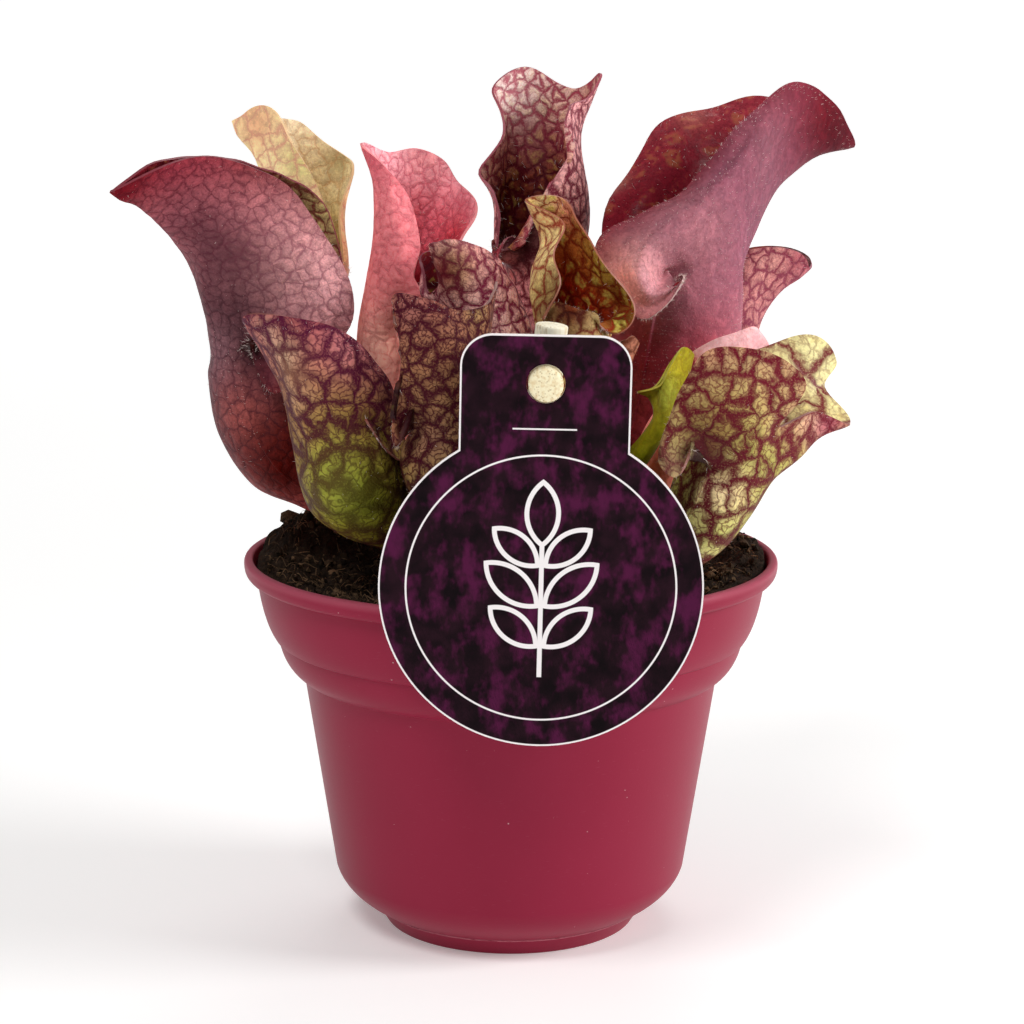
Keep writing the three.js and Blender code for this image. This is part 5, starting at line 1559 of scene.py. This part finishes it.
def make_crumbs(rng):
    """Lumps of peat, each its own uneven shape of twenty faces"""
    count = CRUMB_COUNT
    deselect()
    bpy.ops.mesh.primitive_ico_sphere_add(subdivisions=1, radius=1)
    pattern = bpy.context.object
    corners = read(pattern.data.vertices, "co", 3)
    faces = np.array([list(face.vertices) for face in pattern.data.polygons])
    bpy.data.objects.remove(pattern)
    size = np.minimum(CRUMB_SIZE * np.exp(rng.normal(scale=0.55, size=count)), LARGEST_CRUMB)
    shape = corners[None] * rng.uniform(0.6, 1.25, (count, len(corners), 1))
    shape = shape * rng.uniform(0.6, 1.2, (count, 1, 3)) * size[:, None, None]
    spot = scattered(rng, count)
    spot[:, 2] += size * 0.35 + rng.uniform(0, 0.35, count)
    points = (shape + spot[:, None]).reshape(-1, 3)
    index = (faces[None] + len(corners) * np.arange(count)[:, None, None]).reshape(-1, 3)
    crumbs = mesh_piece("crumbs", points, index)
    paint_tones(crumbs, rng, count, len(corners), lightness=1.0)
    return crumbs


def make_fibres(rng):
    """Short curved root fibres lying among the crumbs, three-sided and closed at both ends"""
    count = FIBRE_COUNT
    bends = FIBRE_BENDS
    start = scattered(rng, count)
    heading = rng.uniform(0, 2 * math.pi, count)
    curl = rng.normal(scale=0.14, size=count)
    length = rng.uniform(*FIBRE_LENGTHS, count)
    path = [start]
    for step in range(1, bends):
        turn = heading + curl * step
        ahead = np.stack([np.cos(turn), np.sin(turn), 0 * turn], -1)
        spot = path[-1] + ahead * (length / bends)[:, None]
        spot[:, 2] = soil_height(spot[:, 0], spot[:, 1]) - SUNK
        path.append(spot)
    path = np.stack(path, 1)
    reach = np.linalg.norm(path[..., :2], axis=-1, keepdims=True)
    path[..., :2] *= np.minimum(1, FIBRE_REACH / np.maximum(reach, 1e-6))
    path[..., 2] += 0.5 + 0.6 * np.sin(np.linspace(0, math.pi, bends)) * rng.uniform(0.2, 1.2, (count, 1))
    along = unit(np.gradient(path, axis=1))
    across = unit(np.cross(along, np.array([0, 0, 1.0])))
    width = rng.uniform(*FIBRE_WIDTHS, (count, 1, 1))
    points = np.stack(three_corners(path, width, across, np.cross(across, along)), 2)
    faces = []
    for low in range(0, 3 * (bends - 1), 3):
        for side in range(3):
            start, end = low + side, low + (side + 1) % 3
            faces += [(start, end, end + 3), (start, end + 3, start + 3)]
    faces += [(0, 2, 1), (3 * bends - 3, 3 * bends - 2, 3 * bends - 1)]
    index = (np.array(faces)[None] + 3 * bends * np.arange(count)[:, None, None]).reshape(-1, 3)
    fibres = mesh_piece("fibres", points.reshape(-1, 3), index)
    paint_tones(fibres, rng, count, 3 * bends, lightness=1.4)
    return fibres


# Stick, peg and tag
WOOD_SIDES = 48
BORE_SIDES = 32
BORE_LEAD = 2  # how far the bore starts in front of the stick
PEG_X = DISC_X + PEG_HEIGHT * math.sin(TAG_TILT)
PEG_Z = DISC_Z + PEG_HEIGHT * math.cos(TAG_TILT)


def bar(name, start, end, start_radius, end_radius, sides):
    """A round bar between two points, with its own radius at each end"""
    start = Vector(start) * MM
    end = Vector(end) * MM
    deselect()
    bpy.ops.mesh.primitive_cone_add(vertices=sides, radius1=start_radius * MM, radius2=end_radius * MM,
                                    depth=(end - start).length, location=(start + end) / 2,
                                    rotation=(end - start).to_track_quat("Z", "Y").to_euler())
    bpy.ops.object.transform_apply()
    return named(name)


def make_stick():
    stick = bar("stick_shaft", STICK_SHOULDER, STICK_TOP, STICK_RADIUS, STICK_RADIUS, WOOD_SIDES)
    round_edges(stick, width=0.35, segments=3, degrees=40)
    point = bar("stick_point", STICK_TIP, STICK_SHOULDER, STICK_TIP_RADIUS, STICK_RADIUS, WOOD_SIDES)
    merge_with(stick, point, "UNION")
    bore = bar("stick_bore", (PEG_X, PEG_BACK - BORE_LEAD, PEG_Z), (PEG_X, TENON_END + GAP, PEG_Z),
               TENON_RADIUS + GAP, TENON_RADIUS + GAP, BORE_SIDES)
    merge_with(stick, bore, "DIFFERENCE")
    dress(stick, STICK_WOOD)
    smooth(stick, degrees=35)
    hand_over(stick, "stick")


def make_peg():
    """A round pin through the tab, with a thinner tenon that goes into the stick"""
    peg = bar("peg_pin", (PEG_X, PEG_FRONT, PEG_Z), (PEG_X, PEG_BACK, PEG_Z), PEG_RADIUS, PEG_RADIUS,
              WOOD_SIDES)
    bpy.ops.object.mode_set(mode="EDIT")
    bpy.ops.mesh.select_all(action="DESELECT")
    bpy.ops.object.mode_set(mode="OBJECT")
    for face in peg.data.polygons:
        face.select = face.normal.y > 0.9
    bpy.ops.object.mode_set(mode="EDIT")
    bpy.ops.mesh.select_mode(type="FACE")
    bpy.ops.mesh.inset(thickness=(PEG_RADIUS - TENON_RADIUS) * MM)
    bpy.ops.mesh.extrude_region_move(TRANSFORM_OT_translate={"value": (0, (TENON_END - PEG_BACK) * MM, 0)})
    bpy.ops.object.mode_set(mode="OBJECT")
    round_edges(peg, width=0.55, segments=4, degrees=50)
    dress(peg, PEG_WOOD)
    smooth(peg, degrees=35)
    hand_over(peg, "peg")


make_pot()
make_soil()
for number, leaf_name in enumerate(LEAVES):
    make_leaf(leaf_name, LEAF_SEED + number)
make_stick()
make_peg()
for tag_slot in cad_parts["tag"].material_slots:
    tag_slot.material = CARD.material


# Floor and light, in metres
FLOOR_SIZE = 80
LIGHT_TARGET = Vector((0, 0, 0.075))
WORLD_STRENGTH = 0.29

deselect()
bpy.ops.mesh.primitive_plane_add(size=FLOOR_SIZE, location=(0, 0, 0))
floor = named("floor")
floor_finish = Finish("pale_floor", 0.7)
floor_place = floor_finish.node("ShaderNodeTexCoord", output="Object")
floor_grain = floor_finish.noise(floor_place, 3.0, 2)
floor_finish.set("Base Color", floor_finish.mix(floor_grain, ink(0xf4f3f2), ink(0xf9f9f8)))
far = floor_finish.rise(floor_finish.vector_maths("LENGTH", floor_place, output="Value"), 0.1, 1.4)
floor_finish.set("Emission Color", floor_finish.mix(far, (0.22, 0.22, 0.22, 1), (0.75, 0.75, 0.75, 1)))
floor_finish.set("Emission Strength", 1.0)
dress(floor, floor_finish)

world = bpy.data.worlds.new("soft_white")
world.use_nodes = True
background = world.node_tree.nodes["Background"]
background.inputs["Color"].default_value = (1, 1, 1, 1)
background.inputs["Strength"].default_value = WORLD_STRENGTH
bpy.context.scene.world = world


def soft_light(name, place, size, power):
    light_data = bpy.data.lights.new(name, "AREA")
    light_data.shape = "DISK"
    light_data.size = size
    light_data.energy = power
    light = bpy.data.objects.new(name, light_data)
    bpy.context.scene.collection.objects.link(light)
    light.location = place
    light.rotation_euler = (LIGHT_TARGET - Vector(place)).to_track_quat("-Z", "Y").to_euler()


soft_light("key_right", (0.9, -0.15, 0.45), size=0.45, power=7.2)
soft_light("fill_left", (-0.9, -0.3, 0.5), size=0.5, power=0.3)
soft_light("front_top", (-0.25, -0.55, 0.85), size=0.35, power=3.5)
soft_light("back_top", (0.1, 0.55, 0.75), size=0.5, power=1.6)
